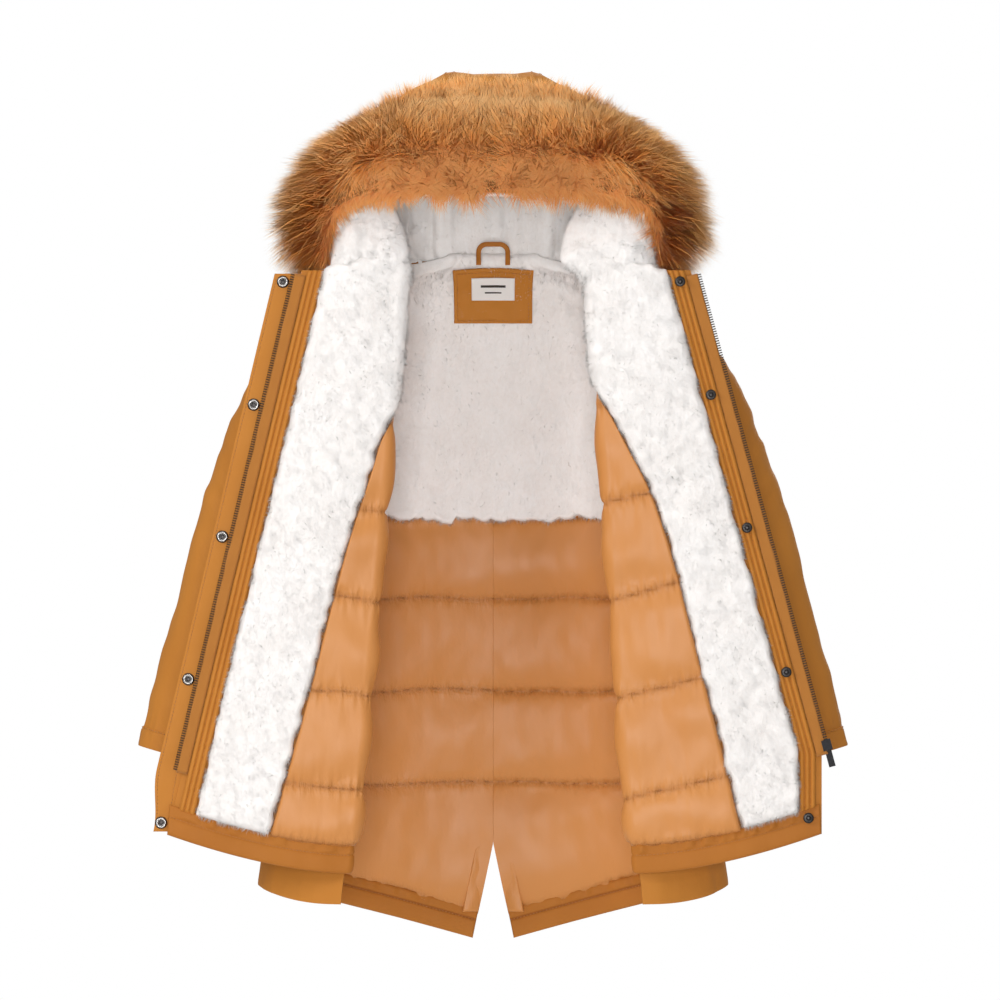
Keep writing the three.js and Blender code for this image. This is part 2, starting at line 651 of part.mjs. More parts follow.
function buildHood() {
  const liningOut = -(SHELL_T + HOOD_LAYER_GAP);
  piece("hood_shell", "shell", hoodLayer(0, 1, -SHELL_T, 0, 24, 9));
  piece("hood_plush", "plush", hoodLayer(0, 1, liningOut - HOOD_LINING_T, liningOut, 24, 9));
  piece("fur_trim", "fur", hoodLayer(0, FUR_BAND, LAYER_GAP, LAYER_GAP + FUR_T, 24, 3));
  for (const [name, side] of [["right", -1], ["left", 1]]) {
    const roll = slab(4, 3, (u, v, t) => {
      const z = lerp(COLLAR_BASE_Z, COLLAR_TOP_Z, v);
      const outer = COLLAR_OUTER - COLLAR_LEAN * v;
      const inner = COLLAR_INNER + COLLAR_NARROWING * v * v;
      const plump = COLLAR_PLUMP * Math.sin(Math.PI * u);
      return [side * lerp(inner, outer, u), COLLAR_Y - plump * t + lerp(COLLAR_T, 0, t), z];
    });
    piece(`${name}_collar`, "plush", roll);
  }
}

function buildNape() {
  const onNape = (halfWidth, topZ, bottomZ, inner, outer, nv) =>
    slab(6, nv, (u, v, t) => {
      const z = lerp(bottomZ, topZ, v);
      const angle = Math.asin(((2 * u - 1) * halfWidth) / (halfWidthAt(z) + LINING_IN));
      return torsoPoint(angle, z, lerp(inner, outer, t));
    });
  const patchOut = LINING_IN - PATCH_GAP;
  const patchIn = patchOut - PATCH_T;
  piece("neck_patch", "shell", onNape(PATCH_WIDTH / 2, NECK_Z - 6, PATCH_BOTTOM_Z, patchIn, patchOut, 6));
  const labelOut = patchIn - 2 * CLEAR;
  piece("neck_label", "label", onNape(LABEL_WIDTH / 2, LABEL_TOP_Z, LABEL_BOTTOM_Z, labelOut - LABEL_T, labelOut, 2));

  // The loop is an arch of strap: an outer outline and, a strap's width inside it, the inner one.
  const outline = new THREE.Shape();
  const half = LOOP_WIDTH / 2;
  const corner = 9;
  outline.moveTo(-half, LOOP_LEG_Z);
  outline.lineTo(-half, LOOP_TOP_Z - corner);
  outline.quadraticCurveTo(-half, LOOP_TOP_Z, -half + corner, LOOP_TOP_Z);
  outline.lineTo(half - corner, LOOP_TOP_Z);
  outline.quadraticCurveTo(half, LOOP_TOP_Z, half, LOOP_TOP_Z - corner);
  outline.lineTo(half, LOOP_LEG_Z);
  outline.lineTo(half - LOOP_STRAP, LOOP_LEG_Z);
  outline.lineTo(half - LOOP_STRAP, LOOP_TOP_Z - corner);
  outline.lineTo(half - corner, LOOP_TOP_Z - LOOP_STRAP);
  outline.lineTo(-half + corner, LOOP_TOP_Z - LOOP_STRAP);
  outline.lineTo(-half + LOOP_STRAP, LOOP_TOP_Z - corner);
  outline.lineTo(-half + LOOP_STRAP, LOOP_LEG_Z);
  const strap = new THREE.ExtrudeGeometry(outline, { depth: LOOP_T, bevelEnabled: false, curveSegments: 4 });
  strap.rotateX(Math.PI / 2);
  strap.translate(0, LOOP_Y + LOOP_T, 0);
  piece("hang_loop", "shell", facingOut(bare(strap)));
}

buildBack();
buildNape();
for (const [front, name] of [[RIGHT, "right"], [LEFT, "left"]]) {
  buildSide(front, name);
  buildSleeve(front.side, name);
  buildFront(front, name);
}
buildSlider(LEFT);
buildClosures();
buildHood();

const part = new THREE.Group();
part.add(coat);
export default part;
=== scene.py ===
import math

import bpy
import numpy as np
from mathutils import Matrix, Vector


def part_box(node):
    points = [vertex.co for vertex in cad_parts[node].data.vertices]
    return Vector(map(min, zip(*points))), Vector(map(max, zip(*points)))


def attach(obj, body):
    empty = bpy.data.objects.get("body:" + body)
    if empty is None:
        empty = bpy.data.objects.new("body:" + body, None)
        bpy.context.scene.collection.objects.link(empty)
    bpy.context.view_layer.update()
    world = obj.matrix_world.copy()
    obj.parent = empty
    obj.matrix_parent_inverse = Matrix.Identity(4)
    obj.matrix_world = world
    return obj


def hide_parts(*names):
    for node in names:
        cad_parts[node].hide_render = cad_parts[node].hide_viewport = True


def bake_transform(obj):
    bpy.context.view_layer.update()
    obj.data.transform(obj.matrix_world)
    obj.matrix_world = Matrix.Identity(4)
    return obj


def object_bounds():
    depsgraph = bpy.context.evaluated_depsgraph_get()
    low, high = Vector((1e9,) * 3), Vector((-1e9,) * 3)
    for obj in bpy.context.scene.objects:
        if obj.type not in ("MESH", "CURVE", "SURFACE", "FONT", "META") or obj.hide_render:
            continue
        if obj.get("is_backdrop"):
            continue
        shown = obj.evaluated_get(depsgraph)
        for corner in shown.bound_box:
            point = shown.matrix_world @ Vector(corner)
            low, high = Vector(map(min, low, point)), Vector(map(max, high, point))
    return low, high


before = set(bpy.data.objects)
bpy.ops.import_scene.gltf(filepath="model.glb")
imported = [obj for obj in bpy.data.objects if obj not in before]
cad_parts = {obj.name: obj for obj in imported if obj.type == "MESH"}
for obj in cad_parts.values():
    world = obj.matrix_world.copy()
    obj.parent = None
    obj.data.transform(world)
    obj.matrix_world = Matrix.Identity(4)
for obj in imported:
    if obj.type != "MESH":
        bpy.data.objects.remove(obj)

cad_low, cad_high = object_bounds()

# ---------------------------------------------------------------- the coat's own sizes, in millimetres
# z runs down from the neck, the wearer faces -y and the wearer's left is +x.

ORIGIN = np.array([0.0, 46.25, 1.0])  # underside of the hanging loop

LINING_OUT = -4.2  # measured out from the outer face of the shell
TORSO = [(-870, 298, 128), (-786, 290, 126), (-650, 268, 122), (-450, 245, 118), (-300, 232, 115),
         (-150, 228, 112), (-80, 210, 100), (-35, 150, 82), (-8, 84, 64)]
TORSO_Y = 10.0
NECK_Z = -10.0
SIDE_HEM = -786.0
BACK_TAIL = 78.0
SIDE_DROP = 20.0
HEM_BAND = 37.0
BAND_SEAM = 0.62  # the share of the band's height at which it is stitched
YOKE = -334.0
VENT_TOP = -733.0
VENT_HALF = 27.0
BACK_SEAMS = (-334.0, -435.0, -549.0, -664.0)

FRONT_Y = -92.0
FRONT_TOP = -32.0
FOLD_HEM = -768.0
EDGE_HEM = -717.0
EDGE_LIMIT = 408.0
BULGE = 7.0
ROLL = 0.5  # radius of the fold at the shell's outer face
TAPE = 14.0
PLACKET = 36.0
FRONTS = {
    "right": dict(side=-1, fold=(116, 179), zip=(233, 0.238), zip_end=-644, bound=[
        (-760, 106), (-544, 65), (-367, 34), (-280, 13), (-232, 1), (-200, -20), (-165, -60)],
        seams=(-214, -326, -434, -553, -667, -790), rise=0.15),
    "left": dict(side=1, fold=(125, 178), zip=(239, 0.272), zip_end=-622, bound=[
        (-760, 138), (-532, 98), (-305, 50), (-245, 24), (-200, 2), (-170, -20), (-135, -60)],
        seams=(-196, -314, -430, -551, -675, -800), rise=0.24),
}

SLEEVE_OUTER = [(150, -96), (222, -88), (264, -110), (312, -192), (357, -312), (406, -495), (438, -615)]
SLEEVE_UNDER = [(150, -262), (226, -284), (246, -316), (258, -362), (272, -436), (295, -540), (318, -647)]
SLEEVE_Y = (20, 34)
SLEEVE_DEPTH = (60, 44)
SLEEVE_LENGTH = 640
SLEEVE_ROUND = 380
CUFF_START = 1 - 22 / SLEEVE_LENGTH

HOOD = [(0, 197, -78, -26, -112, 62, 0.4), (0.25, 193, -52, -34, -46, 154, 0.6),
        (0.5, 180, -12, -34, 34, 212, 0.8), (0.75, 146, 24, -14, 104, 128, 0.9), (1, 88, 42, 0, 74, 4, 1)]
HOOD_SEAM = 52  # across, from the middle of the hood to its panel seams
HOOD_DEPTH = 420
HOOD_SINK = 24
HOOD_LINING_SINK = 21
FUR_BAND = 1 / 3
FUR_PARTS = 5
FUR_STRANDS = 24000  # in each part
FUR_LOCKS = 700
FUR_ROOT = 5.0  # how far the hair's roots stand outside the hood
PILE = {"back": 46000, "hood": 42000, "front": 46000, "collar": 9000}  # leaves on each ground

# ---------------------------------------------------------------- numbers


def lerp(a, b, t):
    """a at 0, b at 1, and a straight line between."""
    return a + (b - a) * t


def ease(low, high, x):
    """0 below low, 1 above high, and between them 3 t^2 - 2 t^3."""
    t = np.clip((x - low) / (high - low), 0, 1)
    return t * t * (3 - 2 * t)


def curve(rows):
    """A smooth curve through rows of place and values: cubic pieces whose slope at a row is the mean of
    the slopes on both sides of it."""
    rows = np.array(sorted(rows), float)
    place, value = rows[:, 0], rows[:, 1:]
    chord = np.diff(value, axis=0) / np.diff(place)[:, None]
    slope = np.vstack([chord[:1], (chord[1:] + chord[:-1]) / 2, chord[-1:]])

    def at(x):
        x = np.clip(x, place[0], place[-1])
        i = np.clip(np.searchsorted(place, x, side="right") - 1, 0, len(place) - 2)
        h = (place[i + 1] - place[i])[..., None]
        t = (x - place[i])[..., None] / h
        return ((2 * t**3 - 3 * t**2 + 1) * value[i] + (t**3 - 2 * t**2 + t) * h * slope[i]
                + (3 * t**2 - 2 * t**3) * value[i + 1] + (t**3 - t**2) * h * slope[i + 1])

    return at


def ripples(seed, wavelength, across=1.0, along=1.0, count=26):
    """A field over a plane: the sum of sine waves in every direction, their lengths spread about the
    given one, scaled so that it mostly stays between -1 and 1. across and along stretch it."""
    rng = np.random.default_rng(seed)
    turn = rng.uniform(0, 2 * np.pi, count)
    wave = 2 * np.pi / (wavelength * rng.uniform(0.6, 1.7, count))
    phase = rng.uniform(0, 2 * np.pi, count)

    def at(x, y):
        return np.sin(x[..., None] * (wave * np.cos(turn) / across)
                      + y[..., None] * (wave * np.sin(turn) / along) + phase).sum(-1) * (1.1 / math.sqrt(count))

    return at


def places(n, margin, corner=5):
    """Places from 0 to 1: n even ones between the margins, and a few on a quarter turn inside each
    margin, for a rounded edge."""
    q = margin * (1 - np.cos(np.linspace(0, np.pi / 2, corner + 1)))[:-1]
    return np.concatenate([q, np.linspace(margin, 1 - margin, n), (1 - q)[::-1]])


def shoulder(t, margin):
    """The height of a rounded edge: a quarter circle within the margin of each end, and 1 between."""
    return np.sqrt(np.clip(1 - (1 - np.clip(np.minimum(t, 1 - t) / margin, 0, 1)) ** 2, 0, 1))


def far_shoulder(t, margin):
    """A rounded edge at the far end only."""
    return shoulder(0.5 + t / 2, margin / 2)


def unit(v):
    return v / np.maximum(np.linalg.norm(v, axis=-1, keepdims=True), 1e-9)


def normals_of(surface, u, v, du, dv, outward):
    """A surface's normal, the cross product of its two tangents, turned to agree with outward(point)."""
    n = unit(np.cross(surface(u + du, v) - surface(u - du, v), surface(u, v + dv) - surface(u, v - dv)))
    side = np.sign((n * outward(surface(u, v))).sum(-1, keepdims=True))
    return n * np.where(side == 0, 1, side)


# ---------------------------------------------------------------- meshes


def weave(rows, cols, closed=False):
    """The quads between neighbouring points of a grid; closed joins the last column to the first."""
    i = np.arange(rows * cols).reshape(rows, cols)
    if closed:
        i = np.hstack([i, i[:, :1]])
    return np.stack([i[:-1, :-1], i[:-1, 1:], i[1:, 1:], i[1:, :-1]], -1).reshape(-1, 4)


def slab(face, back):
    """A closed sheet: its face, its back turned round, and a strip round the rim that joins them."""
    rows, cols = face.shape[:2]
    n = rows * cols
    quads = weave(rows, cols)
    i = np.arange(n).reshape(rows, cols)
    rim = np.concatenate([i[0, :-1], i[:-1, -1], i[-1, :0:-1], i[:0:-1, 0]])
    after = np.roll(rim, -1)
    strip = np.stack([after, rim, rim + n, after + n], -1)
    points = np.vstack([face.reshape(-1, 3), back.reshape(-1, 3)])
    return points, np.vstack([quads, quads[:, ::-1] + n, strip])


def tube(outer, inner):
    """A closed sleeve with a wall: the rows of the outer skin and then those of the inner one, from the
    far end back, joined all the way round."""
    grid = np.concatenate([outer, inner[::-1], outer[:1]])
    rows, cols = grid.shape[:2]
    faces = weave(rows, cols, True)
    last = (rows - 1) * cols
    faces = np.where(faces >= last, faces - last, faces)
    return grid[:-1].reshape(-1, 3), faces


def joined(*solids):
    """Several solids as one mesh."""
    points, faces, start = [], [], 0
    for p, f in solids:
        points.append(p)
        faces.append(f + start)
        start += len(p)
    return np.vstack(points), np.vstack(faces)


def sewn(points, faces):
    """Points that coincide are made one, and the two faces of a wall between two halves are left out."""
    key = np.round(points * 1e3).astype(np.int64)
    _, first, place = np.unique(key, axis=0, return_index=True, return_inverse=True)
    faces = place.reshape(-1)[faces]
    _, back, count = np.unique(np.sort(faces, 1), axis=0, return_inverse=True, return_counts=True)
    return points[first], faces[count[back.reshape(-1)] == 1]


def volume(points, faces):
    """Six times the signed volume: the sum of a.(b x c) over the triangles that fan each face."""
    a, b, c = points[faces[:, 0]], points[faces[:, 1]], points[faces[:, 2]]
    total = (a * np.cross(b, c)).sum()
    if faces.shape[1] == 4:
        total += (a * np.cross(c, points[faces[:, 3]])).sum()
    return total


def piece(name, solid, finish, body, stands_for=(), extra=None, smooth=True, closed=True):
    """Puts a mesh into the scene, its points turned from the coat's millimetres into metres."""
    points, faces = solid
    if closed and volume(points, faces) < 0:
        faces = faces[:, ::-1]
    mesh = bpy.data.meshes.new(name)
    mesh.vertices.add(len(points))
    mesh.vertices.foreach_set("co", ((points - ORIGIN) * 0.001).astype(np.float32).ravel())
    corners = faces.shape[1]
    mesh.loops.add(faces.size)
    mesh.loops.foreach_set("vertex_index", faces.astype(np.int32).ravel())
    mesh.polygons.add(len(faces))
    mesh.polygons.foreach_set("loop_start", np.arange(0, faces.size, corners, dtype=np.int32))
    mesh.polygons.foreach_set("use_smooth", np.full(len(faces), smooth))
    mesh.update()
    if extra is not None:
        for key, values in extra.items():
            layer = mesh.attributes.new(key, "FLOAT", "POINT")
            layer.data.foreach_set("value", values.astype(np.float32).ravel())
    mesh.validate()
    mesh.materials.append(finish.material)
    made = bpy.data.objects.new(name, mesh)
    bpy.context.collection.objects.link(made)
    if body is not None:
        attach(made, body)
    if stands_for:
        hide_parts(*stands_for)
    return made


# ---------------------------------------------------------------- finishes


class Wire:
    """A socket of a finish. An expression on wires adds its Math nodes."""

    def __init__(self, finish, socket):
        self.finish = finish
        self.socket = socket

    def sum(self, kind, *values):
        return self.finish.node("ShaderNodeMath", {"operation": kind}, dict(enumerate(values)))

    def __add__(self, other):
        return self.sum("ADD", self, other)

    __radd__ = __add__

    def __sub__(self, other):
        return self.sum("SUBTRACT", self, other)

    def __rsub__(self, other):
        return self.sum("SUBTRACT", other, self)

    def __mul__(self, other):
        return self.sum("MULTIPLY", self, other)

    __rmul__ = __mul__

    def __truediv__(self, other):
        return self.sum("DIVIDE", self, other)

    def __pow__(self, other):
        return self.sum("POWER", self, other)


def paint(r, g, b):
    """A colour given as display values from 0 to 255, turned into linear light."""
    c = np.array([r, g, b]) / 255
    return (*np.where(c <= 0.04045, c / 12.92, ((c + 0.055) / 1.055) ** 2.4), 1.0)


class Finish:
    """A material on the Principled shader, with constants set on the shader's own sockets."""

    def __init__(self, name, slot, **constants):
        self.slot = slot
        self.material = bpy.data.materials.new(name)
        self.material.use_nodes = True
        self.tree = self.material.node_tree
        self.shader = self.tree.nodes["Principled BSDF"]
        for key, value in constants.items():
            self.shader.inputs[key.replace("_", " ")].default_value = value
        self.coords = self.node("ShaderNodeTexCoord", out="Object")

    def node(self, kind, settings=None, sockets=None, out=0):
        """Adds a node: first its settings, a ramp's stops among them, then the values or wires of its
        sockets."""
        made = self.tree.nodes.new(kind)
        for key, value in (settings or {}).items():
            if key == "stops":
                while len(made.color_ramp.elements) < len(value):
                    made.color_ramp.elements.new(0.5)
                for element, (place, colour) in zip(made.color_ramp.elements, value):
                    element.position = place
                    element.color = colour
            else:
                setattr(made, key, value)
        for key, value in (sockets or {}).items():
            if isinstance(value, Wire):
                self.tree.links.new(value.socket, made.inputs[key])
            else:
                made.inputs[key].default_value = value
        return Wire(self, made.outputs[out])

    def noise(self, scale, detail=2.0, stretch=(1, 1, 1), rough=0.5):
        """Noise on the object's own coordinates, with so many cells a metre."""
        at = self.coords
        if stretch != (1, 1, 1):
            at = self.node("ShaderNodeMapping", None, {"Vector": at, "Scale": stretch})
        return self.node("ShaderNodeTexNoise", None,
                         {"Vector": at, "Scale": scale, "Detail": detail, "Roughness": rough})

    def stripes(self, scale, direction, stretch=(1, 1, 1)):
        """Sine bands across one of the axes."""
        at = self.node("ShaderNodeMapping", None, {"Vector": self.coords, "Scale": stretch})
        return self.node("ShaderNodeTexWave", {"bands_direction": direction}, {"Vector": at, "Scale": scale})

    def attribute(self, name):
        return self.node("ShaderNodeAttribute", {"attribute_name": name}, None, "Fac")

    def ramp(self, factor, *stops):
        return self.node("ShaderNodeValToRGB", {"stops": stops}, {"Fac": factor})

    def mix(self, factor, a, b, kind="MIX"):
        return self.node("ShaderNodeMix", {"data_type": "RGBA", "blend_type": kind},
                         {0: factor, 6: a, 7: b}, 2)

    def relief(self, height, distance, strength=1.0, below=None):
        sockets = {"Height": height, "Distance": distance, "Strength": strength}
        if below is not None:
            sockets["Normal"] = below
        return self.node("ShaderNodeBump", None, sockets)

    def feed(self, **wires):
        for key, wire in wires.items():
            self.tree.links.new(wire.socket, self.shader.inputs[key.replace("_", " ")])
        return self


def shell_finish(name, base, deep, slot):
    """Dense twill: a fine diagonal rib, soft slubs, and a little lighter and darker from place to place."""
    f = Finish(name, slot, Sheen_Weight=0.12, Sheen_Roughness=0.5, Sheen_Tint=paint(255, 190, 110),
               Specular_IOR_Level=0.22)
    rib = f.stripes(420, "DIAGONAL", (1, 0.4, 1))
    slub = f.noise(900, 2, (1, 1, 0.35))
    patchy = f.noise(9, 4)
    tone = f.mix(patchy * 1.3 - 0.15, deep, base)
    # painted shade: the colour is made darker where the seam value is high, in the stitched groove and at the top
    # edge of the hem bands
    tone = f.mix(f.attribute("seam") * 0.7, tone, (0.5, 0.36, 0.22, 1), "MULTIPLY")
    tone = f.mix((rib * 0.5 + slub * 0.5) * 0.3, tone, (1, 0.93, 0.84, 1), "MULTIPLY")
    crease = f.relief(f.noise(30, 3, (1, 1, 0.6)), 0.004, 0.4)
    cloth = f.relief(rib * 0.6 + slub, 0.0002, 0.4, crease)
    return f.feed(Base_Color=tone, Roughness=f.noise(60, 3) * 0.18 + 0.56, Normal=cloth)


def satin_finish():
    """Light taffeta: a close weave with long threads across, a soft gloss, small gathers and painted shade
    along the quilting, where the colour is made darker."""
    f = Finish("satin lining", "satin_lining", Sheen_Weight=0.15, Sheen_Roughness=0.35,
               Sheen_Tint=paint(255, 200, 140), Specular_IOR_Level=0.4, Anisotropic=0.3)
    seam = f.attribute("seam")
    thread = f.noise(1400, 2, (0.25, 1, 1))
    patchy = f.noise(7, 3)
    tone = f.mix(patchy, paint(192, 125, 62), paint(206, 139, 74))
    # painted shade: darker along the quilting seams, where the seam value is high
    tone = f.mix(seam ** 2 * 0.5, tone, paint(140, 80, 32))
    tone = f.mix(thread * 0.12, tone, (1, 0.9, 0.8, 1), "MULTIPLY")
    gathers = f.relief(f.noise(210, 2, (1, 1, 0.22)) * seam, 0.006, 0.8)
    creases = f.relief(f.noise(26, 3, (1, 1, 0.5), 0.5), 0.004, 0.3, gathers)
    cloth = f.relief(thread, 0.0001, 0.3, creases)
    return f.feed(Base_Color=tone, Roughness=f.noise(35, 3) * 0.14 + 0.38 + seam * 0.12, Normal=cloth)


def plush_finish(name, slot="white_plush"):
    """White pile: mottled from place to place, with painted shade: warmer and slightly grey where the noise that
    raises its bump sinks into hollows.
    """
    f = Finish(name, slot, Sheen_Weight=0.5, Sheen_Roughness=0.6, Specular_IOR_Level=0.1)
    tuft = f.noise(260, 4, (1, 1, 0.7), 0.6)
    broad = f.noise(22, 3)
    # painted shade: the tone follows the same tuft noise as the bump, greyer where the bump sinks; the broad
    # noise mottles it at random
    tone = f.ramp(tuft * 0.5 + broad * 0.5, (0.3, paint(238, 232, 228)), (0.5, paint(246, 242, 239)),
                  (0.7, paint(251, 249, 248)))
    return f.feed(Base_Color=tone, Roughness=tuft * 0.1 + 0.85, Normal=f.relief(tuft, 0.0015, 0.5))


def strand_finish(name, slot, stops, low, high, **constants):
    """Hair: its colour runs from root to tip along the strand and a little from strand to strand across."""
    f = Finish(name, slot, Specular_IOR_Level=0.35, **constants)
    place = f.node("ShaderNodeUVMap", {"uv_map": "OFBake"})
    split = f.node("ShaderNodeSeparateXYZ", None, {0: place})
    along = Wire(f, split.socket.node.outputs["Y"])
    across = Wire(f, split.socket.node.outputs["X"])
    tone = f.ramp(along, *stops)
    # the per-strand value in the map's u makes the colour darker: at random for the pile, and for the fur also
    # painted shade on the fringe and painted light on the sides
    tone = f.mix(across * 0.9, tone, low, "MULTIPLY")
    tone = f.mix(across ** 2 * high[3], tone, (*high[:3], 1))
    return f.feed(Base_Color=tone, Roughness=along * -0.1 + 0.62)


def metal_finish(name, slot, tone, worn, rough):
    """Plated metal: fine scratches and slightly duller patches."""
    f = Finish(name, slot, Metallic=1.0)
    scratch = f.noise(2500, 3, (1, 1, 0.1))
    dull = f.noise(300, 3)
    return f.feed(Base_Color=f.mix(dull * scratch, tone, worn), Roughness=dull * 0.2 + rough,
                  Normal=f.relief(scratch, 0.00005, 0.3))


def tape_finish(name, slot, base, deep, rows):
    """Woven band: ribs across and lines along."""
    f = Finish(name, slot, Specular_IOR_Level=0.25, Sheen_Weight=0.2)
    rib = f.stripes(rows, "Z")
    line = f.stripes(rows * 0.8, "X")
    tone = f.mix(rib * 0.5 + line * 0.3 + f.noise(40, 2) * 0.3, deep, base)
    return f.feed(Base_Color=tone, Roughness=rib * 0.1 + 0.7, Normal=f.relief(rib + line, 0.0002, 0.5))


TAN = paint(192, 126, 50)
TAN_DEEP = paint(180, 114, 42)
shell = shell_finish("shell twill", TAN, TAN_DEEP, "shell_fabric")
# painted shade: a darker copy of the shell twill, for the turned-up hem bands and the hanging loop
shaded_band_cloth = shell_finish("shaded turned twill", paint(178, 112, 42), paint(164, 99, 34), "shell_fabric")
satin = satin_finish()
plush = plush_finish("plush")
# the pile's ramp is a little greyer at the root: painted shade at the base of the pile
pile = strand_finish("plush pile", "white_plush", [(0.0, paint(243, 239, 236)), (1.0, paint(252, 251, 250))],
                     (0.98, 0.975, 0.97, 1), (1, 1, 1, 0.1), Sheen_Weight=0.3)
# the fur's ramp darkens towards the root: partly the fur's own colour, partly painted shade where the hair covers
# its roots; the high colour makes strands with a high per-strand value more orange
fur = strand_finish("trim fur", "faux_fur",
                    [(0.0, paint(214, 114, 32)), (0.3, paint(242, 148, 54)), (0.65, paint(252, 178, 88)),
                     (1.0, paint(254, 218, 160))],
                    (0.84, 0.62, 0.38, 1), (0.9, 0.6, 0.3, 0.2), Sheen_Weight=0.1)
fur_ground = shell_finish("fur backing", paint(146, 82, 34), paint(112, 60, 24), "faux_fur")
label_cloth = tape_finish("label weave", "label_satin", paint(250, 248, 245), paint(236, 232, 228), 900)
print_ink = tape_finish("label print", "label_satin", paint(70, 62, 58), paint(40, 36, 34), 900)
tape_cloth = tape_finish("zip tape weave", "zip_tape", paint(186, 122, 50), paint(164, 102, 40), 700)
satin_thread = tape_finish("lining thread", "satin_lining", paint(214, 152, 92), paint(176, 112, 56), 1500)
thread = tape_finish("sewing thread", "shell_fabric", paint(196, 132, 68), paint(150, 94, 42), 1500)
teeth_metal = metal_finish("zip teeth", "zip_metal", paint(36, 30, 26), paint(84, 74, 64), 0.4)
socket_metal = metal_finish("snap socket metal", "snap_metal", paint(176, 174, 172), paint(120, 118, 116), 0.22)
stud_metal = metal_finish("snap stud metal", "stud_metal", paint(52, 50, 50), paint(86, 82, 80), 0.3)
slider_metal = metal_finish("slider enamel", "black_metal", paint(24, 24, 26), paint(52, 50, 50), 0.32)

# ---------------------------------------------------------------- torso

ring = curve(TORSO)


def torso(angle, z):
    """An oval at each height: x is the half-width times the sine of the angle from the middle of the
    back, y the half-depth times its cosine."""
    half = ring(z)
    return np.stack([half[..., 0] * np.sin(angle), TORSO_Y + half[..., 1] * np.cos(angle),
                     z + 0 * angle], -1)


def torso_at(angle, z, d):
    """The torso moved out along its normal by d."""
    outward = lambda p: p * [1, 1, 0] - [0, TORSO_Y, 0]
    return torso(angle, z) + normals_of(torso, angle, z, 1e-3, 1.0, outward) * np.asarray(d)[..., None]


def half_width(z):
    return ring(np.asarray(z, float))[..., 0]


def fold_x(front, z):
    """|x| of the line on which a front folds back, straight from its top to its hem."""
    return lerp(*front["fold"], (z - FRONT_TOP) / (FOLD_HEM - FRONT_TOP))


def fold_angle(front, z):
    return np.pi - np.arcsin(np.clip((fold_x(front, z) + 1.5) / half_width(z), 0, 1))


def hem_z(angle):
    """The hem: it drops to the middle of the back in a straight tail, and a little towards the folds."""
    a = np.abs(angle)
    x = half_width(SIDE_HEM) * np.sin(np.minimum(a, np.pi / 2))
    return SIDE_HEM - BACK_TAIL * (1 - x / half_width(SIDE_HEM)) - SIDE_DROP * ease(np.pi / 2, 2.4, a)


def vent_angle(z):
    """The angle of the vent's edge: nothing above its top, then a straight wedge down to the hem."""
    half = VENT_HALF * np.clip((VENT_TOP - z) / (VENT_TOP - SIDE_HEM + BACK_TAIL), 0, 1.2)
    return np.arcsin(half / half_width(z))


def half_back(side, cols, rows, top, rise, end=None):
    """Angles and heights over one half of the back, from the vent's edge out to the side. cols and rows
    run from 0 to 1; rise lifts the lower edge above the hem, and end gives the outer angle at a height."""
    inner = np.arcsin(VENT_HALF / half_width(SIDE_HEM - BACK_TAIL + 8))
    z0 = lerp(top, hem_z(inner) + rise, rows)[:, None]
    out = np.pi / 2 if end is None else end(z0)
    angle = lerp(vent_angle(z0), out, cols[None, :])
    return side * angle, lerp(top, hem_z(angle) + rise, rows[:, None]) + 0 * angle


def quilting(across, z, seams, slope, seed, fullness=9.0):
    """Channel quilting. Seams run across at the given heights, rising by the slope and wandering a little.
    Between two seams the cloth stands fullness x sin(pi s)^0.6 high, with long soft dimples. Near a seam it
    gathers in short puckers that fade with a length of 8 mm. Returns the height and the closeness to a
    seam."""
    wander = ripples(seed + 1, 120)
    lines = np.stack([k + slope * across + 2.0 * wander(across, k + 0 * across) for k in seams], -1)
    n = np.clip((z[..., None] < lines).sum(-1), 1, len(seams) - 1)
    above = np.take_along_axis(lines, (n - 1)[..., None], -1)[..., 0]
    below = np.take_along_axis(lines, n[..., None], -1)[..., 0]
    s = np.clip((above - z) / (above - below), 0, 1)
    near = np.minimum(np.abs(above - z), np.abs(z - below))
    belly = fullness * np.sin(np.pi * s) ** 0.6
    dimple = ripples(seed + 2, 110, 1.2, 0.8)(across, z) * 1.4
    dimple = dimple + ripples(seed + 3, 40, 0.8, 1.6)(across, z) * 0.35
    pucker = ripples(seed + 4, 13, 0.75, 3.0)(across, z) * 1.5 * np.exp(-near / 8)
    groove = np.exp(-((near / 2.2) ** 2))
    return belly + dimple * np.clip(near / 12, 0, 1) + pucker - 1.2 * groove, np.exp(-near / 5)


def pile_relief(x, z, seed):
    """Lumps of pile in three sizes."""
    broad, middle, fine = ripples(seed, 70), ripples(seed + 1, 26), ripples(seed + 2, 11)
    return broad(x, z) * 0.9 + middle(x, z) * 0.45 + fine(x, z) * 0.2


def drape(across, z, seed):
    """Hanging cloth: long upright folds that grow towards the hem, crossed by faint slanting ones."""
    down = np.clip(-z / 800, 0, 1.1)
    upright = ripples(seed, 150, 1.0, 7.0)(across, z)
    slant = ripples(seed + 1, 120, 1.3, 0.8)(across + 0.4 * z, z)
    small = ripples(seed + 2, 42, 1.0, 2.5)(across, z)
    return 1.5 + upright * (0.8 + 4.2 * down**1.5) + slant * 1.1 + small * 0.45


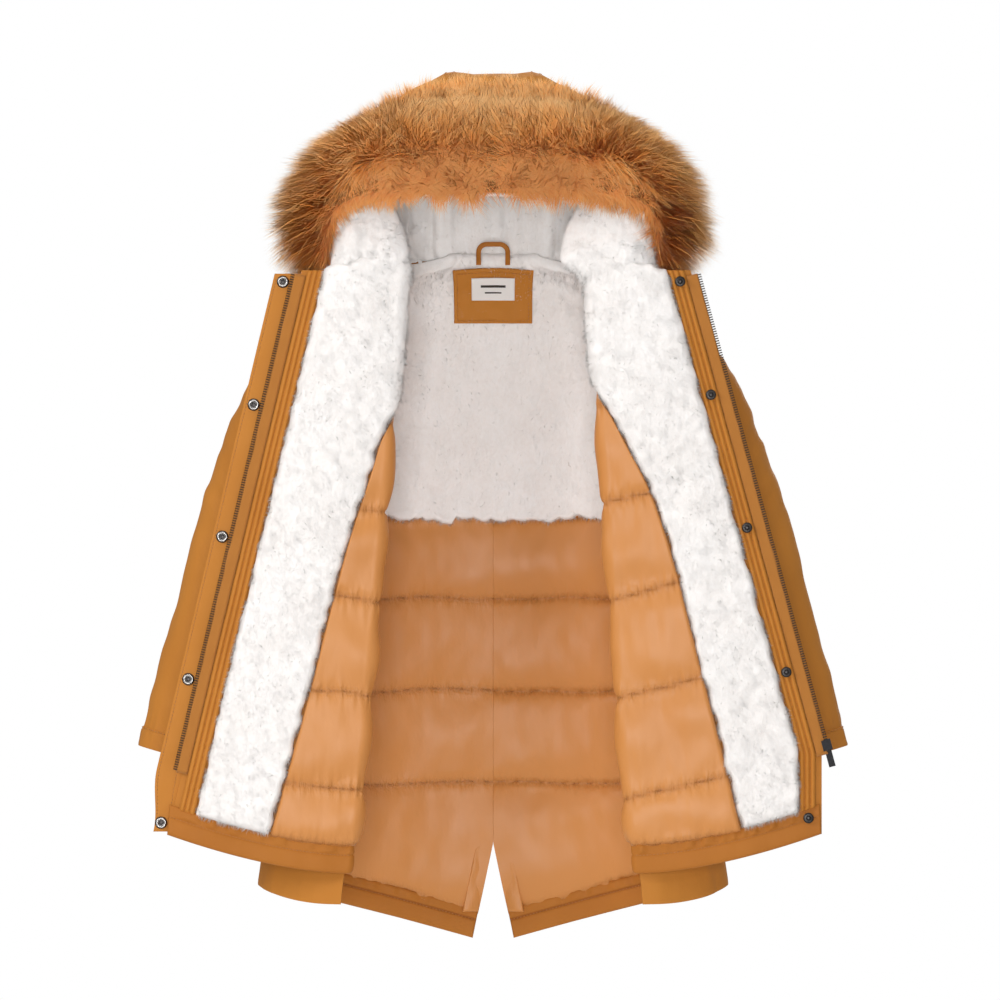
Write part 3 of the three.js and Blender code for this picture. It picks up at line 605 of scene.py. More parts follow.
def make_torso_cloth():
    """The shell of the back and sides: the torso oval moved out by the drape, two halves sewn up the
    middle above the vent, with seams pressed in at the sides and across the hem."""
    halves = []
    for side, name in ((-1, "right"), (1, "left")):
        cols, rows = places(116, 0.004, 2), places(170, 0.002, 2)
        front = FRONTS[name]
        end = lambda z0: fold_angle(front, np.minimum(z0, -34))
        angle, z = half_back(side, cols, rows, NECK_Z - 5, 0, end)
        drop = 16 * ease(0.55, 1.0, np.abs(angle)) + 16 * ease(1.35, 1.75, np.abs(angle))
        z = z - drop * (1 - rows[:, None])
        across = half_width(z) * np.where(np.abs(angle) < np.pi / 2, np.sin(angle),
                                          np.sign(angle) * (1 + np.abs(angle) - np.pi / 2))
        lift = np.clip(drape(across, z, 11), -0.6, 9)
        lift *= ease(0, 0.12, 1 - rows[:, None]) * 0.4 + 0.6
        seam = np.exp(-(((np.abs(angle) - np.pi / 2) * half_width(z) / 2.2) ** 2))
        hem = np.exp(-(((z - hem_z(angle) - 34) / 1.8) ** 2))
        lift = lift - 1.1 * seam - 0.8 * hem + 0.7 * ease(34, 31, z - hem_z(angle))
        edge = ease(2.5, 0, np.minimum(np.abs(z - hem_z(angle)), 99))
        halves.append(slab(torso_at(angle, z, lift - 0.6 * edge), torso_at(angle, z, lift - 2 + 0.3 * edge)))
    made = piece("torso_cloth", sewn(*joined(*halves)), shell, "body",
                 ("back_shell", "right_side_shell", "left_side_shell"))


def make_back_lining():
    """The quilted lower back, two halves sewn up the middle above the vent, its face towards the wearer."""
    halves = []
    extra = []
    for side in (-1, 1):
        cols, rows = places(78, 0.006, 3), places(140, 0.006, 3)
        angle, z = half_back(side, cols, rows, YOKE + 6, HEM_BAND - 6)
        across = half_width(z) * np.sin(angle)
        height, seam = quilting(across, z, (*BACK_SEAMS, hem_z(angle) + HEM_BAND - 3), 0.0, 31)
        height = height * far_shoulder(cols, 0.004)[None, :] * shoulder(rows, 0.004)[:, None]
        height = height * ease(-6, 2, z - hem_z(angle) - HEM_BAND)
        face = torso_at(angle, z, LINING_OUT - 3 - height)
        halves.append(slab(face, torso_at(angle, z, LINING_OUT + 0 * height)))
        extra.append(np.concatenate([seam.ravel(), seam.ravel()]))
    points, faces = joined(*halves)
    seam = np.concatenate(extra)
    key = np.round(points * 1e3).astype(np.int64)
    _, first = np.unique(key, axis=0, return_index=True)
    # the seam value: through the satin finish, painted shade along the quilting seams and along the last seam at
    # the hem band
    made = piece("back_quilt_satin", sewn(points, faces), satin, "body", ("back_quilt",),
                 {"seam": seam[first]})
    x = np.linspace(-262, 262, 400)
    runs = []
    for k in BACK_SEAMS[1:]:
        z = k + 2.0 * ripples(32, 120)(x, k + 0 * x)
        angle = np.arcsin(np.clip(x / half_width(z), -1, 1))
        line = torso_at(angle, z, LINING_OUT - 3.2 + 0 * z)
        runs.append(band_stitches(line, np.tile([0.0, -1.0, 0.0], (len(line), 1)), 4.0, 1.0, 0.5))
    piece("back_quilt_stitches", joined(*runs), satin_thread, "body")


def make_vent_facings():
    """The satin strips that turn in along both edges of the vent, rounded."""
    strips = []
    for side in (-1, 1):
        cols, rows = places(12, 0.2, 4), places(60, 0.01, 2)
        z = lerp(VENT_TOP + 8, SIDE_HEM - BACK_TAIL + HEM_BAND + 2, rows)[:, None] + 0 * cols[None, :]
        wide = 19 * ease(0, 0.25, rows)[:, None] + 1
        angle = vent_angle(z) + wide * cols[None, :] / half_width(z)
        height = (2.2 + 0.5 * ripples(41, 20, 1, 2)(angle * 300, z)) * shoulder(cols, 0.35)[None, :]
        height = height * shoulder(rows, 0.02)[:, None]
        belly = 7.5 * ease(0, 0.2, rows)[:, None]
        face = torso_at(side * angle, z, LINING_OUT - 3.5 - belly * (0.35 + 0.65 * cols[None, :]) - height)
        back = torso_at(side * angle, z, LINING_OUT - 2 + 0 * height)
        strips.append(slab(face, back))
    points, faces = joined(*strips)
    # an even seam value of 0.15: through the satin finish, a faint painted shade all over and a little more
    # roughness
    piece("vent_facings", (points, faces), satin, "body", (), {"seam": np.full(len(points), 0.15)})


def make_back_plush():
    """The plush upper back: the torso's inner side with lumps of pile, and a lower edge that waves."""
    cols, rows = places(130, 0.006, 3), places(90, 0.012, 4)
    angle = lerp(-np.pi / 2, np.pi / 2, cols)[None, :] + 0 * rows[:, None]
    x = 230 * np.sin(angle)
    edge = YOKE - 3 + 2.6 * ripples(51, 34)(x, 0 * x) + 1.4 * ripples(52, 12)(x, 0 * x)
    z = lerp(NECK_Z + 3 - 10 * ease(0.7, 1.2, np.abs(angle)), edge, rows[:, None])
    height = (11.5 + pile_relief(x, z, 53)) * shoulder(rows, 0.012)[:, None] * shoulder(cols, 0.006)[None, :]
    face = torso_at(angle, z, LINING_OUT - 1 - height)
    made = piece("back_plush_ground", slab(face, torso_at(angle, z, LINING_OUT + 0 * height)), plush, "body",
                 ("back_plush",))
    plush_areas["back"] = face


def make_side_lining(name, front):
    """The satin inside the side part, from the side seam to the fold."""
    side = front["side"]
    cols, rows = places(36, 0.02, 3), places(150, 0.004, 3)
    z = lerp(-40, SIDE_HEM + HEM_BAND - 10, rows)[:, None]
    angle = lerp(np.pi / 2 - 0.01, fold_angle(front, z), cols[None, :])
    z = z + 0 * angle
    across = half_width(z) * angle
    seams = (-20, -110) + front["seams"][:-1] + (hem_z(angle) + HEM_BAND - 6,)
    height, seam = quilting(across, z, seams, 0.0, 61 + side)
    height = height * 0.7 * shoulder(cols, 0.02)[None, :] * shoulder(rows, 0.004)[:, None]
    face = torso_at(side * angle, z, LINING_OUT - 4 - height)
    back = torso_at(side * angle, z, LINING_OUT - 1 + 0 * height)
    # the seam value: through the satin finish, painted shade along the quilting seams
    made = piece(name + "_side_satin", slab(face, back), satin, "body", (name + "_side_lining",),
                 {"seam": np.concatenate([seam.ravel(), seam.ravel()])})


def band_stitches(points, outward, pitch=4.2, gap=1.2, width=0.55):
    """A run of stitches along a line of points: every pitch, a low spindle of four sides, tapered to a
    point at both ends, that stands a little out of the cloth."""
    steps = np.linalg.norm(np.diff(points, axis=0), axis=1)
    run = np.concatenate([[0], np.cumsum(steps)])
    n = int(run[-1] / pitch)
    start = np.arange(n) * pitch + gap / 2
    at = lambda s: np.stack([np.interp(s, run, points[:, k]) for k in range(3)], -1)
    facing = lambda s: unit(np.stack([np.interp(s, run, outward[:, k]) for k in range(3)], -1))
    a, b = at(start), at(start + pitch - gap)
    up = facing(start + pitch / 2)
    across = unit(np.cross(b - a, up))
    middle = (a + b) / 2
    corners = np.stack([a, b, middle + across * width, middle - across * width, middle + up * width,
                        middle - up * width], 1)
    one = np.array([[0, 2, 4], [0, 4, 3], [0, 3, 5], [0, 5, 2], [1, 4, 2], [1, 3, 4], [1, 5, 3], [1, 2, 5]])
    faces = one[None] + 6 * np.arange(n)[:, None, None]
    return corners.reshape(-1, 3), faces.reshape(-1, 3)


def make_back_bands():
    """The turned-up hem of the shell, inside, in two halves that end at the vent, with its stitching."""
    for side, name in ((-1, "right"), (1, "left")):
        cols, rows = places(150, 0.008, 3), places(20, 0.12, 3)
        start = lerp(vent_angle(-840.0), np.pi / 2, cols)[None, :] + 0 * rows[:, None]
        z = hem_z(start) + HEM_BAND * rows[:, None]
        angle = lerp(vent_angle(z), np.pi / 2, cols[None, :])
        x = 290 * np.sin(angle)
        ruffle = ripples(71, 24, 0.7, 2.5)(x, z) * 1.5 * ease(0.6, 0.75, rows)[:, None]
        roll = 1.2 * np.sin(np.pi * np.minimum(rows / BAND_SEAM, 1))[:, None]
        height = 2.4 + 0.5 * ripples(72, 60, 0.8, 2)(x, z) + ruffle + roll
        height = np.maximum(height, 1.2) * shoulder(rows, 0.12)[:, None] * shoulder(cols, 0.008)[None, :]
        stitch = np.exp(-(((rows - BAND_SEAM) / 0.035) ** 2))[:, None]
        d = LINING_OUT - 1.8 - height * (1 - 0.6 * stitch)
        # painted shade: the seam value darkens the colour along the stitch groove and at the band's top edge,
        # where it meets the quilt
        groove = np.clip(stitch + 0.5 * ease(0.9, 1, rows)[:, None], 0, 1) + 0 * z
        solid = slab(torso_at(side * angle, z, d), torso_at(side * angle, z, LINING_OUT + 0 * d))
        made = piece(name + "_back_band", solid, shaded_band_cloth, "body", (name + "_back_hem_band",),
                     {"seam": np.tile(groove.ravel(), 2)})
        line = torso_at(side * angle, z, d - 0.2)[np.abs(rows - BAND_SEAM).argmin()]
        piece(name + "_back_band_stitches", band_stitches(line, unit(-line * [1, 1, 0])), thread, "body")


# ---------------------------------------------------------------- opened fronts


def zip_x(front, z):
    return front["zip"][0] - front["zip"][1] * z


def edge_x(front, z):
    return np.minimum(zip_x(front, z), EDGE_LIMIT)


def front_at(front, s, z, lift):
    """A point of an opened front, s along the cloth from the fold, lift above the shell's outer face.
    Beyond the fold the cloth lies flat with a slight bulge; before it the cloth turns half a circle round
    the fold, of radius lift + ROLL, back to the side part."""
    s, z, lift = np.broadcast_arrays(np.asarray(s, float), np.asarray(z, float), np.asarray(lift, float))
    fold = fold_x(front, z)
    share = np.clip(s / (edge_x(front, z) - TAPE - fold), 0, 1)
    radius = lift + ROLL
    turn = np.clip(-s / radius, 0, np.pi)
    x = fold + np.maximum(s, 0) - radius * np.sin(turn)
    y = FRONT_Y + ROLL - radius * np.cos(turn) - BULGE * np.sin(np.pi * share)
    return np.stack([front["side"] * x, y, z], -1)


def front_hem(front, x):
    share = np.clip((x - front["fold"][1]) / (EDGE_LIMIT - front["fold"][1]), 0, 1)
    return lerp(FOLD_HEM, EDGE_HEM, share**1.6)


def front_grid(front, start, end, cols, rows, top, rise):
    """Distances from the fold and heights over part of a front: start and end are functions of the height,
    top is a height, and the lower edge stands so far above the curved hem."""
    z = np.full((1, len(cols)), -740.0)
    for _ in range(5):
        s = lerp(start(z), end(z), cols[None, :])
        z = front_hem(front, fold_x(front, z) + np.maximum(s, 0)) + rise
    z = lerp(top, z, rows[:, None])
    return lerp(start(z), end(z), cols[None, :]), z


def wrapped(made, front):
    """Bakes a piece's placement into its mesh."""
    x = front["side"] * fold_x(front, -400.0) / 1000
    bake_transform(made)


def make_front(name, front):
    side = front["side"]
    body = name + "_front"
    bound = curve(front["bound"])
    boundary = lambda z: bound(z)[..., 0]
    width = lambda z: edge_x(front, z) - fold_x(front, z)
    turn_start = lambda lift: lambda z: 0 * z - np.pi * (lift + ROLL)
    seed = 100 + 40 * side

    # the shell, from the side part round the fold to the zip, seen from behind
    cols, rows = places(66, 0.006, 2), places(140, 0.003, 2)
    s, z = front_grid(front, turn_start(1), lambda z: width(z) - TAPE / 2, cols, rows, FRONT_TOP, 0)
    out = np.clip(drape(s, z, seed) * 0.35, 0, 2.2) * ease(0, 40, s) * ease(0, 30, width(z) - s)
    outer = front_at(front, s, z, 0.0)
    outer[..., 1] += out
    inner = front_at(front, s, z, 2.0)
    made = piece(name + "_front_cloth", slab(outer, inner), shell, None, (name + "_front_shell",))
    wrapped(made, front)

    # quilted satin beside the fold
    top = -165.0 if name == "right" else -135.0
    cols, rows = places(74, 0.012, 3), places(160, 0.004, 3)
    s, z = front_grid(front, turn_start(14), lambda z: boundary(z) - 1.5, cols, rows, top, HEM_BAND - 4)
    hem = front_hem(front, fold_x(front, z) + np.maximum(s, 0)) + HEM_BAND - 2
    hem = hem - front["rise"] * np.maximum(s, -20)
    height, seam = quilting(np.maximum(s, -20), z, (*front["seams"][:-1], hem), front["rise"], seed + 5, 8.0)
    height = np.maximum(height * 0.9 + 5.5, 3)
    height = height * shoulder(cols, 0.03)[None, :] * shoulder(rows, 0.006)[:, None]
    solid = slab(front_at(front, s, z, 4.2 + height), front_at(front, s, z, 3.6))
    # the seam value: through the satin finish, painted shade along the quilting seams
    made = piece(name + "_front_satin", solid, satin, None, (name + "_front_quilt",),
                 {"seam": np.concatenate([seam.ravel(), seam.ravel()])})
    wrapped(made, front)
    runs = []
    for k in front["seams"][1:-1]:
        t = np.linspace(-16, 170, 240)
        line_z = k + front["rise"] * t + 2.0 * ripples(seed + 6, 120)(t, k + 0 * t)
        keep = t < boundary(line_z) - 6
        line = front_at(front, t[keep], line_z[keep], 9.4)
        runs.append(band_stitches(line, np.tile([0.0, -1.0, 0.0], (len(line), 1)), 4.0, 1.0, 0.5))
    wrapped(piece(name + "_front_quilt_stitches", joined(*runs), satin_thread, None), front)

    # plush facing
    cols, rows = places(64, 0.03, 5), places(190, 0.006, 4)
    low = lambda z: np.maximum(boundary(z), -np.pi * 16) + 1.5 * ripples(seed + 9, 26)(z, 0 * z)
    high = lambda z: width(z) - PLACKET + 1.2 * ripples(seed + 10, 30)(z, 0 * z)
    s, z = front_grid(front, low, high, cols, rows, FRONT_TOP, HEM_BAND - 1)
    rise = 15 * np.sin(np.pi * np.clip(cols, 0, 1)) ** 0.6 + 3 * ripples(seed + 12, 24)(s[0], 0 * s[0])
    z = z + rise[None, :] * ease(-110, FRONT_TOP, z)
    height = (12 + pile_relief(s, z, seed + 11)) * shoulder(cols, 0.07)[None, :]
    height = height * shoulder(rows, 0.012)[:, None]
    ground = front_at(front, s, z, 4.4 + height)
    made = piece(name + "_front_plush_ground", slab(ground, front_at(front, s, z, 3.8)), plush, None,
                 (name + "_front_plush",))
    wrapped(made, front)
    plush_areas[name] = ground

    # placket in narrow stitched pleats
    cols, rows = places(30, 0.04, 3), places(170, 0.003, 2)
    inner_edge, outer_edge = (lambda z: width(z) - PLACKET + 1.5), (lambda z: width(z) - TAPE - 0.5)
    s, z = front_grid(front, inner_edge, outer_edge, cols, rows, FRONT_TOP, HEM_BAND - 2)
    pleat = np.abs(np.sin(np.pi * 3 * cols))[None, :] ** 0.7
    height = 1.0 + 3.6 * pleat + 0.5 * ripples(seed + 14, 40, 1, 3)(s, z)
    height = height + 0.45 * ripples(seed + 15, 8, 2, 0.8)(s, z)
    height = height * shoulder(cols, 0.04)[None, :] * shoulder(rows, 0.003)[:, None]
    face = front_at(front, s, z, 5.0 + height)
    piece(name + "_placket_pleats", slab(face, front_at(front, s, z, 4.2)), shell, body, (name + "_placket",))
    lines = []
    for share in (1 / 3, 2 / 3):
        column = np.abs(cols - share).argmin()
        line = face[:, column] - [0, 0.3, 0]
        lines.append(band_stitches(line, np.tile([0.0, -1.0, 0.0], (len(line), 1))))
    piece(name + "_placket_stitches", joined(*lines), thread, body)

    # turned-up hem
    cols, rows = places(130, 0.01, 3), places(20, 0.1, 3)
    s0, z0 = front_grid(front, turn_start(4), lambda z: width(z) - TAPE / 2, cols, np.array([1.0]),
                        FRONT_TOP, 0)
    z = z0 + HEM_BAND * (1 - rows[:, None])
    s = s0 + 0 * z
    ruffle = ripples(seed + 20, 24, 0.7, 2.5)(s, z) * 1.5 * ease(0.4, 0.25, rows)[:, None]
    height = 2.6 + 0.5 * ripples(seed + 21, 60, 0.8, 2)(s, z) + ruffle
    height = height + 1.2 * np.sin(np.pi * np.minimum((1 - rows) / BAND_SEAM, 1))[:, None]
    height = np.maximum(height, 1.2) * shoulder(rows, 0.1)[:, None] * shoulder(cols, 0.01)[None, :]
    height = height * (1 - 0.45 * np.exp(-(((rows - 1 + BAND_SEAM) / 0.035) ** 2))[:, None])
    face = front_at(front, s, z, 4.4 + height)
    made = piece(name + "_front_band", slab(face, front_at(front, s, z, 3.8)), shaded_band_cloth, None,
                 (name + "_front_hem_band",))
    wrapped(made, front)
    line = face[np.abs(rows - 1 + BAND_SEAM).argmin(), 8:] - [0, 0.2, 0]
    run = band_stitches(line, np.tile([0.0, -1.0, 0.0], (len(line), 1)))
    wrapped(piece(name + "_front_band_stitches", run, thread, None), front)


# ---------------------------------------------------------------- zip, flap and snaps


def zip_line(front, z):
    """Directions of the zip: a point on its line at a height, the unit vector across it, away from the
    coat's middle, and the one along it, upwards."""
    slope = math.atan(front["zip"][1])
    across = np.array([front["side"] * math.cos(slope), 0, math.sin(slope)])
    along = np.array([-front["side"] * math.sin(slope), 0, math.cos(slope)])
    point = np.stack([front["side"] * zip_x(front, z), FRONT_Y + 0 * z, z], -1)
    return point, across, along


def make_zip(name, front):
    """Tape as a thin woven slab, and the teeth as one bevelled block repeated every 3 mm."""
    body = name + "_front"
    z = np.linspace(-36, front["zip_end"], 120)
    point, across, along = zip_line(front, z)
    cols = np.linspace(-TAPE + 0.6, 0.6, 6)
    wave = 0.5 * ripples(201, 60)(z, 0 * z)[:, None]
    grid = point[:, None] + cols[None, :, None] * across
    face, back = grid.copy(), grid.copy()
    face[..., 1] -= 7.0 + wave
    back[..., 1] -= 5.4 + wave
    piece(name + "_tape", slab(face, back), tape_cloth, body, (name + "_zip_tape",))

    n = int((-36 - front["zip_end"]) / math.cos(math.atan(front["zip"][1])) / 3.0)
    z = np.linspace(-38, front["zip_end"] + 3, n)
    point, across, along = zip_line(front, z)
    block = np.array([(x, y, h) for x in (0.2, 3.6) for y in (-1.5, 1.5) for h in (-0.7, 0.7)]
                     + [(4.4, 0.0, -0.9), (4.4, 0.0, 0.9), (-0.6, -0.8, 0.0), (-0.6, 0.8, 0.0)])
    faces = np.array([(0, 1, 5), (0, 5, 4), (3, 2, 6), (3, 6, 7), (1, 3, 7), (1, 7, 5), (2, 0, 4), (2, 4, 6),
                      (4, 5, 9), (4, 9, 8), (7, 6, 8), (7, 8, 9), (5, 7, 9), (6, 4, 8),
                      (0, 10, 1), (2, 3, 11), (10, 11, 1), (1, 11, 3), (10, 0, 2), (10, 2, 11)])
    at = point - [0, 6.3, 0]
    points = (at[:, None] + block[None, :, :1] * across + block[None, :, 1:2] * np.array([0, 1.0, 0])
              + block[None, :, 2:] * along)
    faces = faces[None] + len(block) * np.arange(n)[:, None, None]
    piece(name + "_teeth", (points.reshape(-1, 3), faces.reshape(-1, 3)), teeth_metal, body,
          (name + "_zip_teeth",), smooth=False)


def make_flap():
    """The storm flap: a double cloth sewn behind the right front's zip, its free edge rounded at the lower
    end, with two rows of topstitching and a slight wave."""
    front = FRONTS["right"]
    cols, rows = places(26, 0.06, 3), places(220, 0.004, 3)
    z = lerp(-36, EDGE_HEM, rows)[:, None] + 0 * cols[None, :]
    corner = 14 * ease(640, 717, -z)
    x = lerp(zip_x(front, z) - 12, zip_x(front, z) + 25 - corner, cols[None, :])
    wave = 0.5 * ripples(211, 70, 1, 2)(x, z)
    edge = shoulder(cols, 0.06)[None, :] * shoulder(rows, 0.004)[:, None]
    line = np.exp(-(((cols - 0.9) / 0.02) ** 2)) + np.exp(-(((cols - 0.32) / 0.02) ** 2))
    near = FRONT_Y + 1.0 - wave + 1.3 * (1 - edge) + 0.5 * line[None, :]
    far = near + 2.6 * edge + 0.3
    face, back = np.stack([-x, near, z], -1), np.stack([-x, far, z], -1)
    made = piece("storm_flap_cloth", slab(face, back), shell, "storm_flap", ("storm_flap",))
    runs = []
    for share in (0.32, 0.9):
        column = np.abs(cols - share).argmin()
        for grid, out in ((face, -1.0), (back, 1.0)):
            line = grid[4:-4, column] + [0, 0.25 * out, 0]
            runs.append(band_stitches(line, np.tile([0.0, out, 0.0], (len(line), 1))))
    piece("storm_flap_stitches", joined(*runs), thread, "storm_flap")


def capped(rings):
    """A grid of closed rings as a solid, each end closed by a fan about its middle."""
    rows, sides = rings.shape[:2]
    points = np.vstack([rings.reshape(-1, 3), rings[0].mean(0), rings[-1].mean(0)])
    quads = weave(rows, sides, True)
    i = np.arange(sides)
    j = (i + 1) % sides
    last = (rows - 1) * sides
    near = np.stack([j, i, 0 * i + rows * sides], -1)
    far = np.stack([i + last, j + last, 0 * i + rows * sides + 1], -1)
    return points, np.vstack([quads[:, [0, 1, 2]], quads[:, [0, 2, 3]], near, far])


def turned(profile, centre, sides=40):
    """A profile of radius and height, turned round the y axis at a centre; height counts towards -y."""
    profile = np.array(profile, float)
    turn = np.linspace(0, 2 * np.pi, sides, endpoint=False)
    r, h = profile[:, :1], profile[:, 1:]
    grid = np.stack([r * np.cos(turn), -h + 0 * turn, r * np.sin(turn)], -1) + centre
    return capped(grid)


SOCKET = [(0.8, -3.0), (5.6, -3.0), (6.4, -2.4), (6.5, -1.2), (6.2, -0.5), (5.4, 0.0), (4.6, -0.1), (4.0, -0.7),
          (3.4, -1.5), (3.0, -1.9), (1.8, -2.0), (0.6, -2.0)]
SOCKET_RIM = [(5.2, -2.9), (7.3, -2.9), (7.5, -2.4), (7.2, -1.9), (5.2, -1.9)]
SOCKET_FLOOR = [(2.8, -2.2), (2.8, -1.6), (2.3, -1.4)]
STUD = [(0.8, -3.0), (5.4, -3.0), (6.3, -2.6), (6.4, -1.7), (5.9, -1.1), (4.2, -0.8), (3.1, -0.8), (2.6, -0.5),
        (2.5, 0.4), (2.1, 0.9), (1.2, 1.1), (0.4, 1.1)]


def make_snaps():
    """Sockets on the flap and studs on the left placket, each a profile turned round."""
    low = np.array([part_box(f"snap_socket_{i}")[0] for i in range(1, 6)]) * 1000 + ORIGIN
    high = np.array([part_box(f"snap_socket_{i}")[1] for i in range(1, 6)]) * 1000 + ORIGIN
    middle = (low + high) / 2
    centres = [np.array([m[0], h[1], m[2]]) for m, h in zip(middle, low)]
    discs = [turned(SOCKET, c) for c in centres]
    piece("snap_sockets", joined(*discs), socket_metal, "storm_flap", [f"snap_socket_{i}" for i in range(1, 6)])
    dark = [turned(profile, c) for profile in (SOCKET_RIM, SOCKET_FLOOR) for c in centres]
    piece("snap_socket_rims", joined(*dark), stud_metal, "storm_flap")
    low = np.array([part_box(f"snap_stud_{i}")[0] for i in range(1, 6)]) * 1000 + ORIGIN
    high = np.array([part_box(f"snap_stud_{i}")[1] for i in range(1, 6)]) * 1000 + ORIGIN
    middle = (low + high) / 2
    discs = [turned(STUD, np.array([m[0], l[1] + 0.4, m[2]])) for m, l in zip(middle, low)]
    piece("snap_studs", joined(*discs), stud_metal, "left_front", [f"snap_stud_{i}" for i in range(1, 6)])


# ---------------------------------------------------------------- sleeves


def edge_curve(points):
    n = len(points) - 1
    return curve([(i / n, x, z) for i, (x, z) in enumerate(points)])


sleeve_outer, sleeve_under = edge_curve(SLEEVE_OUTER), edge_curve(SLEEVE_UNDER)


def sleeve_at(side, turn, w, inset):
    """A sleeve: an oval between its outer and its underarm edge, w from 0 at the shoulder to 1 at the
    cuff; turn runs once round from the outer edge; inset makes both radii smaller."""
    turn, w, inset = np.broadcast_arrays(np.asarray(turn, float), np.asarray(w, float), np.asarray(inset, float))
    top, low = sleeve_outer(w), sleeve_under(w)
    middle, reach = (top + low) / 2, (top - low) / 2
    radius = np.linalg.norm(reach, axis=-1)
    along = reach / radius[..., None] * ((radius - inset) * np.cos(2 * np.pi * turn))[..., None]
    y = lerp(*SLEEVE_Y, w) + (lerp(*SLEEVE_DEPTH, w) - inset) * np.sin(2 * np.pi * turn)
    x = side * (middle[..., 0] + along[..., 0])
    return np.stack([x, y, middle[..., 1] + along[..., 1]], -1)


def sleeve_start(side, turn, inset, depth):
    """For each turn, the share of the sleeve at which it leaves the torso's shell."""
    w = np.linspace(0, 0.6, 240)[:, None]
    p = sleeve_at(side, turn[None, :], w, inset)
    half = ring(p[..., 2])
    inside = (p[..., 0] / (half[..., 0] - depth)) ** 2 + ((p[..., 1] - TORSO_Y) / (half[..., 1] - depth)) ** 2 < 1
    last = np.where(inside.any(0), len(w) - 1 - inside[::-1].argmax(0), 0)
    return w[last, 0]


def creases(turn, w, seed):
    """The folds of a hanging sleeve: slanting ones at the elbow and under the arm, small ones at the cuff."""
    around = turn * SLEEVE_ROUND
    down = w * SLEEVE_LENGTH
    broad = ripples(seed, 110, 1.4, 0.7)(around + 0.5 * down, down) * 1.6
    bent = 0.4 + 1.2 * np.exp(-(((w - 0.55) / 0.16) ** 2))
    elbow = ripples(seed + 1, 46, 2.2, 0.6)(around - 0.6 * down, down) * bent
    pit = ripples(seed + 2, 40, 0.7, 2.0)(around, down) * 1.3 * np.exp(-(((w - 0.25) / 0.12) ** 2))
    cuff = ripples(seed + 3, 30, 0.8, 2.0)(around, down) * 1.2 * np.exp(-(((w - 0.97) / 0.04) ** 2))
    return broad + elbow + pit + cuff


def lifted(made, side):
    """Bakes a piece's placement into its mesh."""
    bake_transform(made)


def make_sleeve(side, name):
    turn = np.linspace(0, 1, 150, endpoint=False)
    rows = places(150, 0.003, 2)
    start = sleeve_start(side, turn, 0, 1.5)
    w = lerp(start[None, :], CUFF_START + 0.004, rows[:, None])
    seam = np.exp(-((w - start[None, :]) * SLEEVE_LENGTH / 3) ** 2)
    blendin = ease(0, 0.05, w - start[None, :])
    periodic = lambda f: lerp(f(turn), f(turn - 1), ease(0.8, 1.0, turn)[None, :])
    fold = periodic(lambda t: creases(t[None, :] + 0 * w, w, 301 + side))
    inset = -(fold * blendin * 0.8) - 0.8 * blendin + 0.6 * seam
    inset = np.clip(inset, -7, 2)
    outer = sleeve_at(side, turn[None, :], w, inset)
    inner = sleeve_at(side, turn[None, :], w, inset + 1.8)
    made = piece(name + "_sleeve_cloth", tube(outer, inner), shell, None, (name + "_sleeve_shell",))
    lifted(made, side)

    rows = places(30, 0.03, 3)
    w = lerp(CUFF_START, 1, rows)[:, None] + 0 * turn
    swell = 0.9 * shoulder(rows, 0.12)[:, None] - 0.7 * np.exp(-(((rows - 0.12) / 0.03) ** 2))[:, None]
    fold = periodic(lambda t: creases(t[None, :] + 0 * w, w, 301 + side))
    inset = -swell - 1.4 - 0.8 * fold
    outer = sleeve_at(side, turn[None, :], w, inset)
    inner = sleeve_at(side, turn[None, :], w, inset + 3.4)
    piece(name + "_cuff_band", tube(outer, inner), shell, name + "_sleeve", (name + "_cuff",))
    line = sleeve_at(side, turn, w[4], inset[4] - 0.2)
    line = np.vstack([line, line[:1]])
    centre = line.mean(0)
    piece(name + "_cuff_stitches", band_stitches(line, unit(line - centre)), thread, name + "_sleeve")

    rows = places(60, 0.003, 2)
    turn = np.linspace(0, 1, 90, endpoint=False)
    start = sleeve_start(side, turn, 6, -4)
    w = lerp(start[None, :], 0.985, rows[:, None])
    soft = 1.2 * ripples(331, 60)(turn[None, :] * 300 + 0 * w, w * 640) * ease(0, 0.1, turn) * ease(1, 0.9, turn)
    outer = sleeve_at(side, turn[None, :], w, 6.4 + 0 * w)
    inner = sleeve_at(side, turn[None, :], w, 10.5 + soft)
    points, faces = tube(outer, inner)
    made = piece(name + "_sleeve_satin", (points, faces), satin, None, (name + "_sleeve_lining",),
                 {"seam": np.zeros(len(points))})
    lifted(made, side)


# ---------------------------------------------------------------- hood

hood_arch = curve(HOOD)


def hood(u, w):
    """The hood: an arch at each place w from the face opening to the nape. u runs over it from the
    wearer's left foot; across is the power of a cosine, rise the same power of the sine."""
    width, base_y, base_z, apex_y, apex_z, square = np.moveaxis(hood_arch(np.clip(w, 0, 1)), -1, 0)
    c, s = np.cos(np.pi * u), np.clip(np.sin(np.pi * u), 0, 1)
    rise = np.maximum(s, 1e-9) ** square
    return np.stack([width * np.sign(c) * np.abs(c) ** square, lerp(base_y, apex_y, rise),
                     lerp(base_z, apex_z, rise)], -1)


def hood_normal(u, w):
    outward = lambda p: p * [1, 0.6, 1]
    return normals_of(hood, np.clip(u, 0.004, 0.996), np.clip(w, 0.004, 0.996), 2e-3, 2e-3, outward)


def shoulder_height(x, y):
    """The height at which the torso's ovals, which shrink upwards, stop holding a point seen from above."""
    z = np.linspace(-160, -8, 77)
    half = ring(z)
    held = (x[..., None] / half[:, 0]) ** 2 + ((y[..., None] - TORSO_Y) / half[:, 1]) ** 2 < 1
    return z[np.maximum(held.sum(-1) - 1, 0)]


